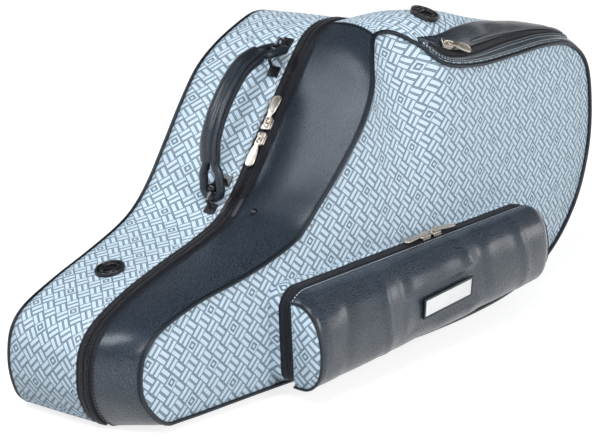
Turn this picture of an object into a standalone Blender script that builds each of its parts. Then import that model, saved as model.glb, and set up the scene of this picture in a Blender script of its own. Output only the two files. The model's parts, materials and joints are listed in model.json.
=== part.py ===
"""Shaped tenor saxophone case: two zipped shells, a strap handle and two pockets.

Lengths are metres and +Z is up. The case stands on its long edge, as it is set down. The small
neck end is at -X, the bell end at +X, the back panel faces +Y and the pocketed lid faces -Y.
"""

from math import cos, pi, radians, sin, sqrt

import bmesh
import bpy
import numpy as np
from mathutils import Matrix, Vector
from mathutils.bvhtree import BVHTree

# Overall sizes
CASE_LENGTH = 0.850
CASE_HEIGHT = 0.350
BASE_DEPTH = 0.096
ZIP_WIDTH = 0.020
LID_DEPTH = 0.124
BELL_BULGE = 0.040
FACE_PUFF = 0.0045

# Walls and clearances
COVER_WALL = 0.0012
SHELL_WALL = 0.0080
LINING_WALL = 0.0030
CLEARANCE = 0.0003
COVER_TO_SHELL = 0.0006
PIPING_RADIUS = 0.0026
PANEL_INSET = 0.0020

# Zips and their sliders
TEETH_WIDTH = 0.0042
TEETH_HEIGHT = 0.0016
SLIDER_LENGTH = 0.0150
SLIDER_WIDTH = 0.0110
SLIDER_PLATE = 0.0024
BRIDGE_LENGTH = 0.0100
BRIDGE_HEIGHT = 0.0038
BRIDGE_BAR = 0.0011
BRIDGE_WIDTH = 0.0022
PULL_LENGTH = 0.0350
PULL_WIDTH = 0.0095
PULL_THICKNESS = 0.0014
PULL_EYE_WIDTH = 0.0038
PULL_EYE_LENGTH = 0.0048
PULL_BAR = 0.0016
SLIDERS_APART = 0.0190
PULL_TILT = radians(2.5)

# Handle
HANDLE_INSET = 0.0100
HANDLE_RISE = 0.0620
GRIP_RADIUS = 0.0128
LOOP_CORD_RADIUS = 0.0050
LOOP_HALF_WIDTH = 0.0105
LOOP_STEPS = 6
BRACKET_SPAN = 0.0370
BRACKET_RISE = 0.0162
BRACKET_WIRE_RADIUS = 0.0021
FOOT_SIDE = 0.0120
FOOT_THICKNESS = 0.0026

# Strap lugs
LUG_RADIUS = 0.0160
LUG_HEIGHT = 0.0052
LUG_RIM = 0.0030
LUG_FLOOR = 0.0016
LUG_BAR_RADIUS = 0.0014
RING_WIRE_RADIUS = 0.0014
RING_RADIUS = 0.0096
RIVET_RADIUS = 0.0042
RIVET_HEIGHT = 0.0024

# Lower pocket
POCKET_LENGTH = 0.4250
POCKET_HEIGHT = 0.1000
POCKET_DEPTH = 0.0400
POCKET_ZIP = 0.0085
POCKET_WALL = 0.0018
POCKET_CORNER = 0.0140
POCKET_TOP_CORNER = 0.0240
POCKET_YAW = radians(-5.9)
POCKET_PITCH = radians(-3.2)
BAND_CLEARANCE = 0.0016
BAND_STEP = 0.0400
PLATE_LENGTH = 0.0900
PLATE_HEIGHT = 0.0235
PLATE_THICKNESS = 0.0009
PLATE_FRAME = 0.0026

# Upper pocket
UPPER_PANEL_WALL = 0.0014
UPPER_PANEL_GAP = 0.0018
UPPER_ZIP_SLACK = 0.0017

# Foam fittings inside
CRADLE_THICKNESS = 0.0400
CRADLE_DEPTH = 0.0680
BODY_SADDLE_RADIUS = 0.0400
BELL_SADDLE_RADIUS = 0.0760
DIVIDER_THICKNESS = 0.0100
LID_PAD_THICKNESS = 0.0140

# Outlines, as shares of the case's length and height, clockwise seen from the lid.
SEAM_SHARES = [
    (0.065, 0.000), (0.026, 0.023), (0.004, 0.097), (0.000, 0.171),
    (0.007, 0.249), (0.035, 0.309), (0.094, 0.363), (0.165, 0.403),
    (0.235, 0.437), (0.285, 0.474), (0.322, 0.543), (0.356, 0.634),
    (0.406, 0.7665), (0.456, 0.899), (0.482, 0.951), (0.512, 0.974),
    (0.544, 0.974), (0.574, 0.957), (0.609, 0.931), (0.656, 0.897),
    (0.729, 0.854), (0.824, 0.800), (0.906, 0.737), (0.967, 0.629),
    (0.995, 0.457), (0.988, 0.271), (0.953, 0.109), (0.888, 0.023),
    (0.800, 0.000), (0.624, 0.000), (0.424, 0.000), (0.224, 0.000),
]
BACK_SHARES = [
    (0.080, 0.000), (0.042, 0.023), (0.024, 0.097), (0.020, 0.177),
    (0.028, 0.251), (0.054, 0.303), (0.112, 0.349), (0.179, 0.391),
    (0.239, 0.434), (0.275, 0.477), (0.306, 0.543), (0.341, 0.646),
    (0.379, 0.760), (0.414, 0.846), (0.456, 0.903), (0.506, 0.946),
    (0.544, 0.966), (0.576, 0.954), (0.612, 0.934), (0.656, 0.903),
    (0.729, 0.854), (0.819, 0.797), (0.896, 0.731), (0.953, 0.623),
    (0.979, 0.451), (0.972, 0.266), (0.936, 0.103), (0.876, 0.023),
    (0.794, 0.000), (0.624, 0.000), (0.424, 0.000), (0.229, 0.000),
]
# The front panel's edge also has its depth, as a share of the lid's depth.
EDGE_SHARES = [
    (0.085, 0.023, 0.472), (0.047, 0.034, 0.435), (0.019, 0.106, 0.399),
    (0.012, 0.174, 0.391), (0.019, 0.254, 0.399), (0.047, 0.314, 0.432),
    (0.106, 0.363, 0.501), (0.176, 0.394, 0.583), (0.235, 0.431, 0.652),
    (0.276, 0.471, 0.700), (0.309, 0.543, 0.738), (0.347, 0.634, 0.782),
    (0.391, 0.749, 0.815), (0.426, 0.840, 0.766), (0.459, 0.917, 0.621),
    (0.492, 0.966, 0.508), (0.520, 0.969, 0.581), (0.538, 0.931, 0.774),
    (0.561, 0.869, 0.952), (0.629, 0.840, 1.000), (0.718, 0.831, 1.000),
    (0.806, 0.826, 1.000), (0.876, 0.797, 0.992), (0.925, 0.714, 0.984),
    (0.940, 0.557, 0.984), (0.933, 0.400, 0.984), (0.900, 0.246, 0.984),
    (0.835, 0.120, 0.984), (0.741, 0.046, 0.984), (0.600, 0.029, 0.976),
    (0.424, 0.029, 0.863), (0.235, 0.029, 0.652),
]
# Below this share of bend, the faces round a point count as one smooth surface.
LEAST_BEND = 0.25
# A rim whose faces slope less than this towards the front keeps its wall level with the rim.
SIDE_WALL_SLOPE = 0.60
# How far the lid's side swells outwards at each station, as shares of BELL_BULGE.
BULGE_SHARES = [
    0.00, 0.00, 0.06, 0.06, 0.06, 0.06, 0.06, 0.06,
    0.05, 0.03, 0.00, 0.00, 0.00, 0.03, 0.08, 0.12,
    0.24, 0.55, 0.88, 0.95, 0.70, 0.50, 0.40, 0.40,
    0.40, 0.40, 0.35, 0.20, 0.00, 0.00, 0.00, 0.00,
]
# Spans between stations that need a point of their own halfway along.
BENT_SPANS = {0, 1, 2, 3, 4, 8, 13, 14, 15, 16, 17, 18, 19, 22, 23, 24, 25, 26}
MIDWAY_SHARES = (-1 / 16, 9 / 16, 9 / 16, -1 / 16)
# The middle line that the front panel's inner rings close in on.
SPINE_SHARES = [(0.085, 0.190), (0.260, 0.215), (0.420, 0.330), (0.560, 0.440), (0.850, 0.440)]
FACE_LEAN_SHARES = ((0.012, 0.391), (0.235, 0.652), (0.424, 0.863), (0.600, 0.980), (0.740, 1.000))
SIDE_RING_SHARES = ((0.34, 0.85), (0.64, 1.00), (0.86, 0.60))
FACE_RING_SHARES = (0.38, 0.72)

# Stations where one covering ends and the next begins
HINGE_STATIONS = (28, 0)
ZIP_STATIONS = (0, 28)
TEETH_STATIONS = (1, 27)
LEATHER_STATIONS = (28, 15)
BELL_CLOTH_STATIONS = (15, 28)
SLOPE_STATIONS = (10, 13)
UPPER_POCKET_START = 17

# Places, as shares of the case's length and height or of the piece that carries them
SLIDERS_MEET_SHARE = 0.414
HANDLE_LOW_SHARES = (0.311, 0.520)
HANDLE_HIGH_SHARES = (0.450, 0.880)
GRIP_PATH_SHARES = [
    (0.115, 0.620), (0.200, 0.835), (0.325, 0.960), (0.470, 1.000),
    (0.615, 0.975), (0.745, 0.875), (0.865, 0.660),
]
GRIP_THICKNESS_SHARES = (0.90, 0.97, 1.00, 1.00, 1.00, 0.97, 0.90)
NECK_LUG_SHARES = (0.136, 0.560)
BELL_LUG_SHARES = (0.592, 0.600)
BAND_RIVET_SHARES = (0.297, 0.165)
POCKET_PLACE_SHARES = (0.221, 0.851, 0.056)
# The pocket's height and depth at its right end, as shares of those at its left end
POCKET_TAPER_SHARES = (0.847, 0.620)
POCKET_SLIDERS_SHARE = 0.580
PLATE_SHARES = (0.516, 0.410)
END_CUT_SHARE = 0.70
# The lower pocket cover's section: forward from the zip, and up from the bottom seam.
POCKET_SECTION_SHARES = [
    (0.00, 1.000), (0.30, 0.990), (0.60, 0.925), (0.84, 0.790), (0.97, 0.610),
    (1.00, 0.420), (0.94, 0.230), (0.76, 0.085), (0.44, 0.000), (0.00, 0.000),
]
# The upper pocket at ring points from its left tip: its upper edge, the zip's two sides and its
# lower edge, as shares of the way over the bell's roll.
UPPER_POCKET_SHARES = [
    (0.80, 0.84, 0.90, 0.95), (0.60, 0.74, 0.86, 0.95), (0.45, 0.74, 0.88, 0.95),
    (0.34, 0.70, 0.87, 0.95), (0.26, 0.64, 0.83, 0.95), (0.17, 0.58, 0.77, 0.95),
    (0.08, 0.53, 0.72, 0.95), (0.03, 0.50, 0.68, 0.95), (0.03, 0.50, 0.68, 0.95),
    (0.05, 0.50, 0.68, 0.95),
]
UPPER_SLIDER_SHARE = 0.42
UPPER_TEETH_SHARES = (0.15, 0.85)
BODY_CRADLE_SHARES = (0.235, 0.36)
BELL_CRADLE_SHARES = (0.700, 0.74)
DIVIDER_SHARES = (0.440, 0.600, 0.615)
LID_PAD_SHARES = (0.400, 0.640, 0.200, 0.560)

BLACK_LEATHER = (0.018, 0.022, 0.034)
PALE_CLOTH = (0.42, 0.52, 0.60)
ZIP_BLACK = (0.012, 0.013, 0.018)
WARM_SILVER = (0.66, 0.60, 0.52)
BLACK_LACQUER = (0.014, 0.014, 0.017)
PLUSH_BLACK = (0.020, 0.020, 0.026)
FOAM_GREY = (0.10, 0.10, 0.12)
PLATE_WHITE = (0.85, 0.86, 0.88)


def clear_scene():
    for old in list(bpy.data.objects):
        bpy.data.objects.remove(old, do_unlink=True)


def new_collection(name):
    made = bpy.data.collections.new(name)
    bpy.context.scene.collection.children.link(made)
    return made


def new_material(name, colour, roughness, metallic=0.0):
    material = bpy.data.materials.new(name)
    material.use_nodes = True
    shader = material.node_tree.nodes["Principled BSDF"]
    shader.inputs["Base Color"].default_value = (*colour, 1.0)
    shader.inputs["Roughness"].default_value = roughness
    shader.inputs["Metallic"].default_value = metallic
    return material


def new_object(name, data, material, parent, matrix=None):
    """An object in the case's collection, placed in its parent's own frame."""
    made = bpy.data.objects.new(name, data)
    CASE.objects.link(made)
    data.materials.append(material)
    made.parent = parent
    if matrix is not None:
        made.matrix_local = matrix
    return made


def new_helper(name, mesh, parent=None, matrix=None):
    """A cutter or joined piece that is left out of the finished case."""
    made = bpy.data.objects.new(name, mesh)
    HELPERS.objects.link(made)
    made.hide_render = True
    made.display_type = "WIRE"
    made.parent = parent
    if matrix is not None:
        made.matrix_local = matrix
    return made


def new_frame(name, parent=None, matrix=None):
    """An empty that stands for a joint's or a fitting's own frame."""
    made = bpy.data.objects.new(name, None)
    HELPERS.objects.link(made)
    made.parent = parent
    if matrix is not None:
        made.matrix_local = matrix
    return made


def mesh_from(name, working):
    mesh = bpy.data.meshes.new(name)
    working.to_mesh(mesh)
    working.free()
    return mesh


def smooth_shade(made):
    made.data.shade_smooth()
    made.data.set_sharp_from_angle(angle=radians(35))


# Outlines and surfaces


def smooth_loop(stations):
    """A closed Catmull-Rom curve through the stations, with a point halfway along each bent span."""
    count = len(stations)
    traced = []
    for i in range(count):
        near = [stations[(i + step) % count] for step in (-1, 0, 1, 2)]
        traced.append(near[1])
        if i in BENT_SPANS:
            traced.append(sum((p * share for p, share in zip(near, MIDWAY_SHARES)), Vector((0, 0, 0))))
    return traced


def index_of(station):
    return station + sum(1 for span in BENT_SPANS if span < station)


def flat_stations(shares, y):
    return [Vector((x * CASE_LENGTH, y, z * CASE_HEIGHT)) for x, z in shares]


def edge_stations():
    start = -BASE_DEPTH - ZIP_WIDTH
    return [
        Vector((x * CASE_LENGTH, start - depth * LID_DEPTH, z * CASE_HEIGHT))
        for x, z, depth in EDGE_SHARES
    ]


def outward_at(points, i):
    """The unit normal of a ring at a point, in the XZ plane, pointing away from the case."""
    along = points[(i + 1) % len(points)] - points[i - 1]
    return Vector((-along.z, 0, along.x)).normalized()


def inset_ring(points, distance):
    return [p - outward_at(points, i) * distance for i, p in enumerate(points)]


def seam_ring(y):
    return smooth_loop(flat_stations(SEAM_SHARES, y))


def back_ring():
    return smooth_loop(flat_stations(BACK_SHARES, 0))


def gusset_ring():
    back = back_ring()
    seam = seam_ring(-BASE_DEPTH)
    return [(a + b) / 2 for a, b in zip(back, seam)]


def side_rings():
    """The rings between the zip and the front panel's edge, swollen over the bell."""
    start = flat_stations(SEAM_SHARES, -BASE_DEPTH - ZIP_WIDTH)
    edge = edge_stations()
    rings = []
    for share, swell in SIDE_RING_SHARES:
        stations = []
        for i, (a, b) in enumerate(zip(start, edge)):
            push = outward_at(start, i) * BELL_BULGE * BULGE_SHARES[i] * swell
            stations.append(a.lerp(b, share) + push)
        rings.append(smooth_loop(stations))
    return rings


def between(table, x):
    """Straight-line value of a table of (x, value) pairs."""
    if x <= table[0][0]:
        return table[0][1]
    for (x0, v0), (x1, v1) in zip(table, table[1:]):
        if x <= x1:
            return v0 + (v1 - v0) * (x - x0) / (x1 - x0)
    return table[-1][1]


def face_y(x_share):
    return -BASE_DEPTH - ZIP_WIDTH - between(FACE_LEAN_SHARES, x_share) * LID_DEPTH


def face_rings(edge):
    """Rings from the front panel's edge towards its middle line, easing into the leaning face."""
    low = min(p.x for p in edge)
    high = max(p.x for p in edge)
    rings = []
    for share in FACE_RING_SHARES:
        ring = []
        for p in edge:
            along = (p.x - low) / (high - low)
            x_share = SPINE_SHARES[0][0] + along * (SPINE_SHARES[-1][0] - SPINE_SHARES[0][0])
            middle = Vector((x_share * CASE_LENGTH, 0, between(SPINE_SHARES, x_share) * CASE_HEIGHT))
            place = p.lerp(middle, share)
            left_over = (p.y - face_y(p.x / CASE_LENGTH)) * (1 - share) ** 2
            place.y = face_y(place.x / CASE_LENGTH) + left_over - FACE_PUFF * share
            ring.append(place)
        rings.append(ring)
    return rings


def loft(rings, closed=True, cap_back=False, cap_front=False):
    """A triangulated surface through rings that run from the back of the case to the front."""
    working = bmesh.new()
    rows = [[working.verts.new(p) for p in ring] for ring in rings]
    count = len(rings[0])
    for a, b in zip(rows, rows[1:]):
        for i in range(count if closed else count - 1):
            j = (i + 1) % count
            working.faces.new((a[i], b[i], b[j], a[j]))
    if cap_back:
        working.faces.new(rows[0])
    if cap_front:
        working.faces.new(list(reversed(rows[-1])))
    working.normal_update()
    bmesh.ops.triangulate(working, faces=working.faces, quad_method="FIXED", ngon_method="BEAUTY")
    return working


def inward_shifts(working):
    """For each point, the shift that carries every face round it one unit inwards."""
    shifts = []
    for corner in working.verts:
        normals = np.array([face.normal for face in corner.link_faces])
        on_rim = any(edge.is_boundary for edge in corner.link_edges)
        if on_rim and abs(normals[:, 1]).mean() < SIDE_WALL_SLOPE:
            normals[:, 1] = 0
        shift, *_ = np.linalg.lstsq(normals, -np.ones(len(normals)), rcond=LEAST_BEND)
        shifts.append(Vector(shift))
    return shifts


def walled(name, working, outer, inner):
    """Gives a surface a wall from one depth below it to another; a depth above it is negative."""
    working.normal_update()
    working.verts.index_update()
    shifts = inward_shifts(working)
    places = [corner.co.copy() for corner in working.verts]
    faces = [[corner.index for corner in face.verts] for face in working.faces]
    rim = [
        [corner.index for corner in (loop.vert, loop.link_loop_next.vert)]
        for edge in working.edges
        if edge.is_boundary
        for loop in edge.link_loops
    ]
    working.free()
    count = len(places)
    points = [p + shift * outer for p, shift in zip(places, shifts)]
    points += [p + shift * inner for p, shift in zip(places, shifts)]
    inside = [[i + count for i in reversed(face)] for face in faces]
    walls = [[b, a, a + count, b + count] for a, b in rim]
    mesh = bpy.data.meshes.new(name)
    mesh.from_pydata(points, [], faces + inside + walls)
    return mesh


def run_of(ring, start, end, trim=0.0):
    """The open run of a closed ring from one point to another, its ends drawn in by trim."""
    count = len(ring)
    if end <= start:
        end += count
    run = [ring[i % count].copy() for i in range(start, end + 1)]
    run[0] += (run[1] - run[0]).normalized() * trim
    run[-1] += (run[-2] - run[-1]).normalized() * trim
    return run


def stretch(ring, first, last, trim=0.0):
    """The open run of a case outline from one station to another."""
    return run_of(ring, index_of(first), index_of(last), trim)


def walled_loft(name, rings, material, parent, outer, inner, **options):
    mesh = walled(name, loft(rings, **options), outer, inner)
    made = new_object(name, mesh, material, parent)
    smooth_shade(made)
    return made


def tube(name, points, radius, material, parent, closed=False, resolution=1, radii=None, matrix=None):
    """A round tube along a path of straight steps."""
    curve = bpy.data.curves.new(name, "CURVE")
    curve.dimensions = "3D"
    curve.bevel_depth = radius
    curve.bevel_resolution = resolution
    curve.use_fill_caps = not closed
    spline = curve.splines.new("POLY")
    spline.points.add(len(points) - 1)
    for i, (target, p) in enumerate(zip(spline.points, points)):
        target.co = (*p, 1.0)
        if radii:
            target.radius = radii[i]
    spline.use_cyclic_u = closed
    return new_object(name, curve, material, parent, matrix)


def as_mesh(made):
    """Turns a curve object into a welded mesh object that Booleans can use."""
    bpy.context.view_layer.update()
    graph = bpy.context.evaluated_depsgraph_get()
    mesh = bpy.data.meshes.new_from_object(made.evaluated_get(graph))
    working = bmesh.new()
    working.from_mesh(mesh)
    bmesh.ops.remove_doubles(working, verts=working.verts, dist=CLEARANCE / 10)
    bmesh.ops.recalc_face_normals(working, faces=working.faces)
    working.to_mesh(mesh)
    working.free()
    name, parent, place = made.name, made.parent, made.matrix_local.copy()
    bpy.data.objects.remove(made, do_unlink=True)
    swapped = bpy.data.objects.new(name, mesh)
    CASE.objects.link(swapped)
    swapped.parent = parent
    swapped.matrix_local = place
    return swapped


def box_mesh(name, low, high):
    working = bmesh.new()
    bmesh.ops.create_cube(working, size=1.0)
    size = Vector(high) - Vector(low)
    middle = (Vector(high) + Vector(low)) / 2
    for corner in working.verts:
        corner.co = Vector(a * b for a, b in zip(corner.co, size)) + middle
    return mesh_from(name, working)


def rod_mesh(name, radius, length, sides):
    """A closed cylinder along its own Z, centred on its origin."""
    working = bmesh.new()
    bmesh.ops.create_cone(
        working, cap_ends=True, segments=sides, radius1=radius, radius2=radius, depth=length
    )
    return mesh_from(name, working)


def join_with(made, helper, operation="UNION"):
    step = made.modifiers.new(operation.title(), "BOOLEAN")
    step.operation = operation
    step.solver = "EXACT"
    step.object = helper


def bevel(made, width, segments=1):
    step = made.modifiers.new("Bevel", "BEVEL")
    step.width = width
    step.segments = segments
    step.limit_method = "ANGLE"


def turned(name, profile, sides, material, parent, matrix):
    """A solid of revolution about its own Z from a (radius, height) profile, bottom to top."""
    working = bmesh.new()
    corners = [working.verts.new((radius, 0, height)) for radius, height in reversed(profile)]
    for a, b in zip(corners, corners[1:]):
        working.edges.new((a, b))
    made = new_object(name, mesh_from(name, working), material, parent, matrix)
    spin = made.modifiers.new("Spin", "SCREW")
    spin.steps = sides
    spin.render_steps = sides
    spin.use_merge_vertices = True
    spin.merge_threshold = CLEARANCE / 10
    spin.use_smooth_shade = False
    return made


def flat_curve(name, loops, thickness, material, parent, matrix):
    """A flat plate in its own XY plane with the given outer and inner outlines."""
    curve = bpy.data.curves.new(name, "CURVE")
    curve.dimensions = "2D"
    curve.fill_mode = "BOTH"
    curve.extrude = thickness / 2
    for loop in loops:
        spline = curve.splines.new("POLY")
        spline.points.add(len(loop) - 1)
        for target, (x, y) in zip(spline.points, loop):
            target.co = (x, y, 0, 1.0)
        spline.use_cyclic_u = True
    return as_mesh(new_object(name, curve, material, parent, matrix))


# Seating small pieces on the covered surface


def tree_of(working):
    tree = BVHTree.FromBMesh(working)
    working.free()
    return tree


def seat(tree, origin, direction):
    """Where a ray from outside the case meets its surface, and the normal there."""
    place, normal, _, _ = tree.ray_cast(origin, direction)
    if normal.dot(direction) > 0:
        normal.negate()
    return place, normal


def frame_at(place, along, normal):
    """A frame with X along the surface, Z out of it and its origin at the place."""
    z = normal.normalized()
    x = (along - z * along.dot(z)).normalized()
    y = z.cross(x)
    matrix = Matrix((x, y, z)).transposed().to_4x4()
    matrix.translation = place
    return matrix


def raised_clear(tree, matrix, footprint, gap):
    """Lifts a frame along its own Z until every footprint point is the gap above the surface."""
    reach = CASE_HEIGHT / 10
    up = matrix.to_3x3().col[2].normalized()
    lift = None
    for point in footprint:
        start = matrix @ Vector((*point, reach))
        place, _, _, _ = tree.ray_cast(start, -up)
        if place is None:
            continue
        above = reach - (start - place).length
        lift = above if lift is None else max(lift, above)
    return Matrix.Translation(up * (lift + gap)) @ matrix


def disc_points(radius):
    """Points over a disc, for seating a round piece."""
    points = [(0, 0)]
    for share in (0.25, 0.5, 0.75, 1):
        points += [(x * radius * share, y * radius * share) for x, y in unit_circle(16)]
    return points


def square_points(x, half):
    return [(x + a * half, b * half) for a in (-1, 0, 1) for b in (-1, 0, 1)]


# The two shells and what covers and lines them


def build_base(parts):
    """Foam tray, its cloth, the back panel, the plush and the base's half of the zip."""
    parting = -BASE_DEPTH - ZIP_WIDTH / 2 + CLEARANCE
    back = back_ring()
    gusset = gusset_ring()
    seam = seam_ring(-BASE_DEPTH)
    parting_ring = seam_ring(parting)
    shell_top = COVER_WALL + COVER_TO_SHELL
    shell_inner = shell_top + SHELL_WALL
    rings = [back, gusset, seam, parting_ring]
    walled_loft("base_shell", rings, FOAM, parts, shell_top, shell_inner, cap_back=True)
    lining_top = shell_inner + CLEARANCE
    walled_loft("base_lining", rings, PLUSH, parts, lining_top, lining_top + LINING_WALL, cap_back=True)
    cover = [back, gusset, seam]
    walled_loft("base_gusset_cover", cover, CLOTH, parts, 0, COVER_WALL)
    panel = [inset_ring(back, PANEL_INSET)]
    walled_loft("back_cover", panel, CLOTH, parts, 0, COVER_WALL, cap_back=True)
    piping_y = Vector((0, PIPING_RADIUS + CLEARANCE, 0))
    loop = [p + piping_y for p in inset_ring(back, PIPING_RADIUS + CLEARANCE)]
    tube("back_piping", loop, PIPING_RADIUS, LEATHER, parts, closed=True)
    build_zip_half("base", parts, -BASE_DEPTH - CLEARANCE, parting, toward_front=True)
    return tree_of(loft(cover))


def build_zip_half(side, parts, start, end, toward_front):
    """The tape and teeth along the zip, and this side's leaf of the cloth hinge below it."""
    tape_rings = [seam_ring(start), seam_ring(end)]
    if toward_front:
        teeth_rings = [seam_ring(end + TEETH_WIDTH), seam_ring(end)]
    else:
        teeth_rings = [seam_ring(start), seam_ring(start - TEETH_WIDTH)]
    tape = [stretch(ring, *ZIP_STATIONS, trim=CLEARANCE) for ring in tape_rings]
    walled_loft("zip_tape_" + side, tape, ZIP, parts, 0, COVER_WALL, closed=False)
    teeth = [stretch(ring, *TEETH_STATIONS) for ring in teeth_rings]
    top = -TEETH_HEIGHT - CLEARANCE
    walled_loft("zip_teeth_" + side, teeth, ZIP, parts, top, -CLEARANCE, closed=False)
    leaf = [stretch(ring, *HINGE_STATIONS, trim=CLEARANCE) for ring in tape_rings]
    walled_loft("hinge_leaf_" + side, leaf, LEATHER, parts, 0, COVER_WALL, closed=False)


def front_piping_path(edge, face):
    """The cord's middle line, on the front panel's border and clear of it and of the sides."""
    reach = PIPING_RADIUS + CLEARANCE
    path = []
    for i, (p, q) in enumerate(zip(edge, face)):
        inwards = (q - p).normalized()
        along = edge[(i + 1) % len(edge)] - edge[i - 1]
        path.append(p + (inwards + inwards.cross(along).normalized()) * reach)
    return path


def build_lid(parts):
    """Foam shell, leather band, bell cloth, front panel, plush and the lid's half of the zip."""
    parting = -BASE_DEPTH - ZIP_WIDTH / 2 - CLEARANCE
    cloth_start = -BASE_DEPTH - ZIP_WIDTH
    start_ring = seam_ring(cloth_start)
    parting_ring = seam_ring(parting)
    edge = smooth_loop(edge_stations())
    face = face_rings(edge)
    sides = side_rings()
    shell_top = COVER_WALL + COVER_TO_SHELL
    shell_inner = shell_top + SHELL_WALL
    rings = [parting_ring, start_ring, *sides, edge, *face]
    walled_loft("lid_shell", rings, FOAM, parts, shell_top, shell_inner, cap_front=True)
    lining_top = shell_inner + CLEARANCE
    walled_loft("lid_lining", rings, PLUSH, parts, lining_top, lining_top + LINING_WALL, cap_front=True)
    side_cover = [start_ring, *sides, edge]
    for name, stations, material in (
        ("leather_band", LEATHER_STATIONS, LEATHER),
        ("bell_gusset_cover", BELL_CLOTH_STATIONS, CLOTH),
    ):
        strip = [stretch(ring, *stations, trim=CLEARANCE) for ring in side_cover]
        walled_loft(name, strip, material, parts, 0, COVER_WALL, closed=False)
    panel_edge = [p + (q - p).normalized() * PANEL_INSET for p, q in zip(edge, face[0])]
    panel = [panel_edge, *face]
    walled_loft("front_panel", panel, CLOTH, parts, 0, COVER_WALL, cap_front=True)
    tube("front_piping", front_piping_path(edge, face[0]), PIPING_RADIUS, LEATHER, parts, closed=True)
    build_zip_half("lid", parts, parting, cloth_start + CLEARANCE, toward_front=False)
    return tree_of(loft([*side_cover, *face], cap_front=True)), [*sides[1:], edge]


# Sliders and their pulls


def pull_loops():
    """The pull's outline and its eye, with the pull's hinge at the origin."""
    back = -PULL_BAR / 2
    half = PULL_WIDTH / 2
    neck = half * 0.72
    tip = PULL_LENGTH - PULL_BAR / 2
    outline = [
        (back, -neck),
        (PULL_EYE_LENGTH + PULL_BAR, -neck),
        (PULL_EYE_LENGTH + PULL_BAR * 3, -half),
        (tip - half * 0.8, -half),
        (tip - half * 0.2, -half * 0.7),
        (tip, 0),
        (tip - half * 0.2, half * 0.7),
        (tip - half * 0.8, half),
        (PULL_EYE_LENGTH + PULL_BAR * 3, half),
        (PULL_EYE_LENGTH + PULL_BAR, neck),
        (back, neck),
    ]
    eye = PULL_EYE_WIDTH / 2
    near = PULL_BAR / 2
    hole = [(near, -eye), (near + PULL_EYE_LENGTH, -eye), (near + PULL_EYE_LENGTH, eye), (near, eye)]
    return [outline, hole]


def bridge_loop():
    """The slider's bridge, seen from its side, with its feet sunk in the plate."""
    half = BRIDGE_LENGTH / 2
    inner = half - BRIDGE_BAR
    sunk = -SLIDER_PLATE / 3
    top = BRIDGE_HEIGHT
    round_off = BRIDGE_BAR * 0.7
    return [
        (-half, sunk),
        (-inner, sunk),
        (-inner, top - BRIDGE_BAR),
        (inner, top - BRIDGE_BAR),
        (inner, sunk),
        (half, sunk),
        (half, top - round_off),
        (half - round_off, top),
        (round_off - half, top),
        (-half, top - round_off),
    ]


def build_slider(name, parent, matrix):
    """A slider plate with a bridge, and a pull that hangs from the bridge and lies along +X."""
    frame = new_frame(name + "_frame", parent, matrix)
    low = TEETH_HEIGHT + 2 * CLEARANCE
    high = low + SLIDER_PLATE
    half_length = SLIDER_LENGTH / 2
    half_width = SLIDER_WIDTH / 2
    plate = box_mesh(name, (-half_length, -half_width, low), (half_length, half_width, high))
    made = new_object(name, plate, METAL, frame)
    bevel(made, SLIDER_PLATE / 4)
    upright = Matrix.Translation((0, 0, high)) @ Matrix.Rotation(pi / 2, 4, "X")
    bridge = flat_curve(name + "_bridge", [bridge_loop()], BRIDGE_WIDTH, METAL, frame, upright)
    join_with(made, as_helper(bridge))
    hinge_height = high + (BRIDGE_HEIGHT - BRIDGE_BAR) / 2
    hinge = Matrix.Translation((0, 0, hinge_height)) @ Matrix.Rotation(PULL_TILT, 4, "Y")
    flip = new_frame(name + "_flip", frame, hinge)
    flat_curve(name + "_pull", pull_loops(), PULL_THICKNESS, METAL, flip, Matrix.Identity(4))


def as_helper(made):
    CASE.objects.unlink(made)
    HELPERS.objects.link(made)
    made.hide_render = True
    made.display_type = "WIRE"
    return made


def build_main_sliders(parts):
    """Two sliders that meet on the straight slope of the zip, their pulls pointing apart."""
    run = stretch(seam_ring(-BASE_DEPTH - ZIP_WIDTH / 2), *SLOPE_STATIONS)
    along = (run[-1] - run[0]).normalized()
    up = Vector((-along.z, 0, along.x))
    meet = run[0].lerp(run[-1], SLIDERS_MEET_SHARE)
    for name, way in (("main_slider_upper", 1), ("main_slider_lower", -1)):
        place = meet + along * way * SLIDERS_APART / 2
        build_slider(name, parts, frame_at(place, along * way, up))


# Handle


def on_side(tree, shares, y, outward):
    """The point of the case's side nearest to a place given as shares, and the normal there."""
    place = Vector((shares[0] * CASE_LENGTH, y, shares[1] * CASE_HEIGHT))
    return seat(tree, place + outward * CASE_HEIGHT / 4, -outward)


def from_above(tree, share, y):
    """The highest point of the case at a share of its length and a depth, and the normal there."""
    return seat(tree, Vector((share * CASE_LENGTH, y, CASE_HEIGHT * 2)), Vector((0, 0, -1)))


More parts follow.
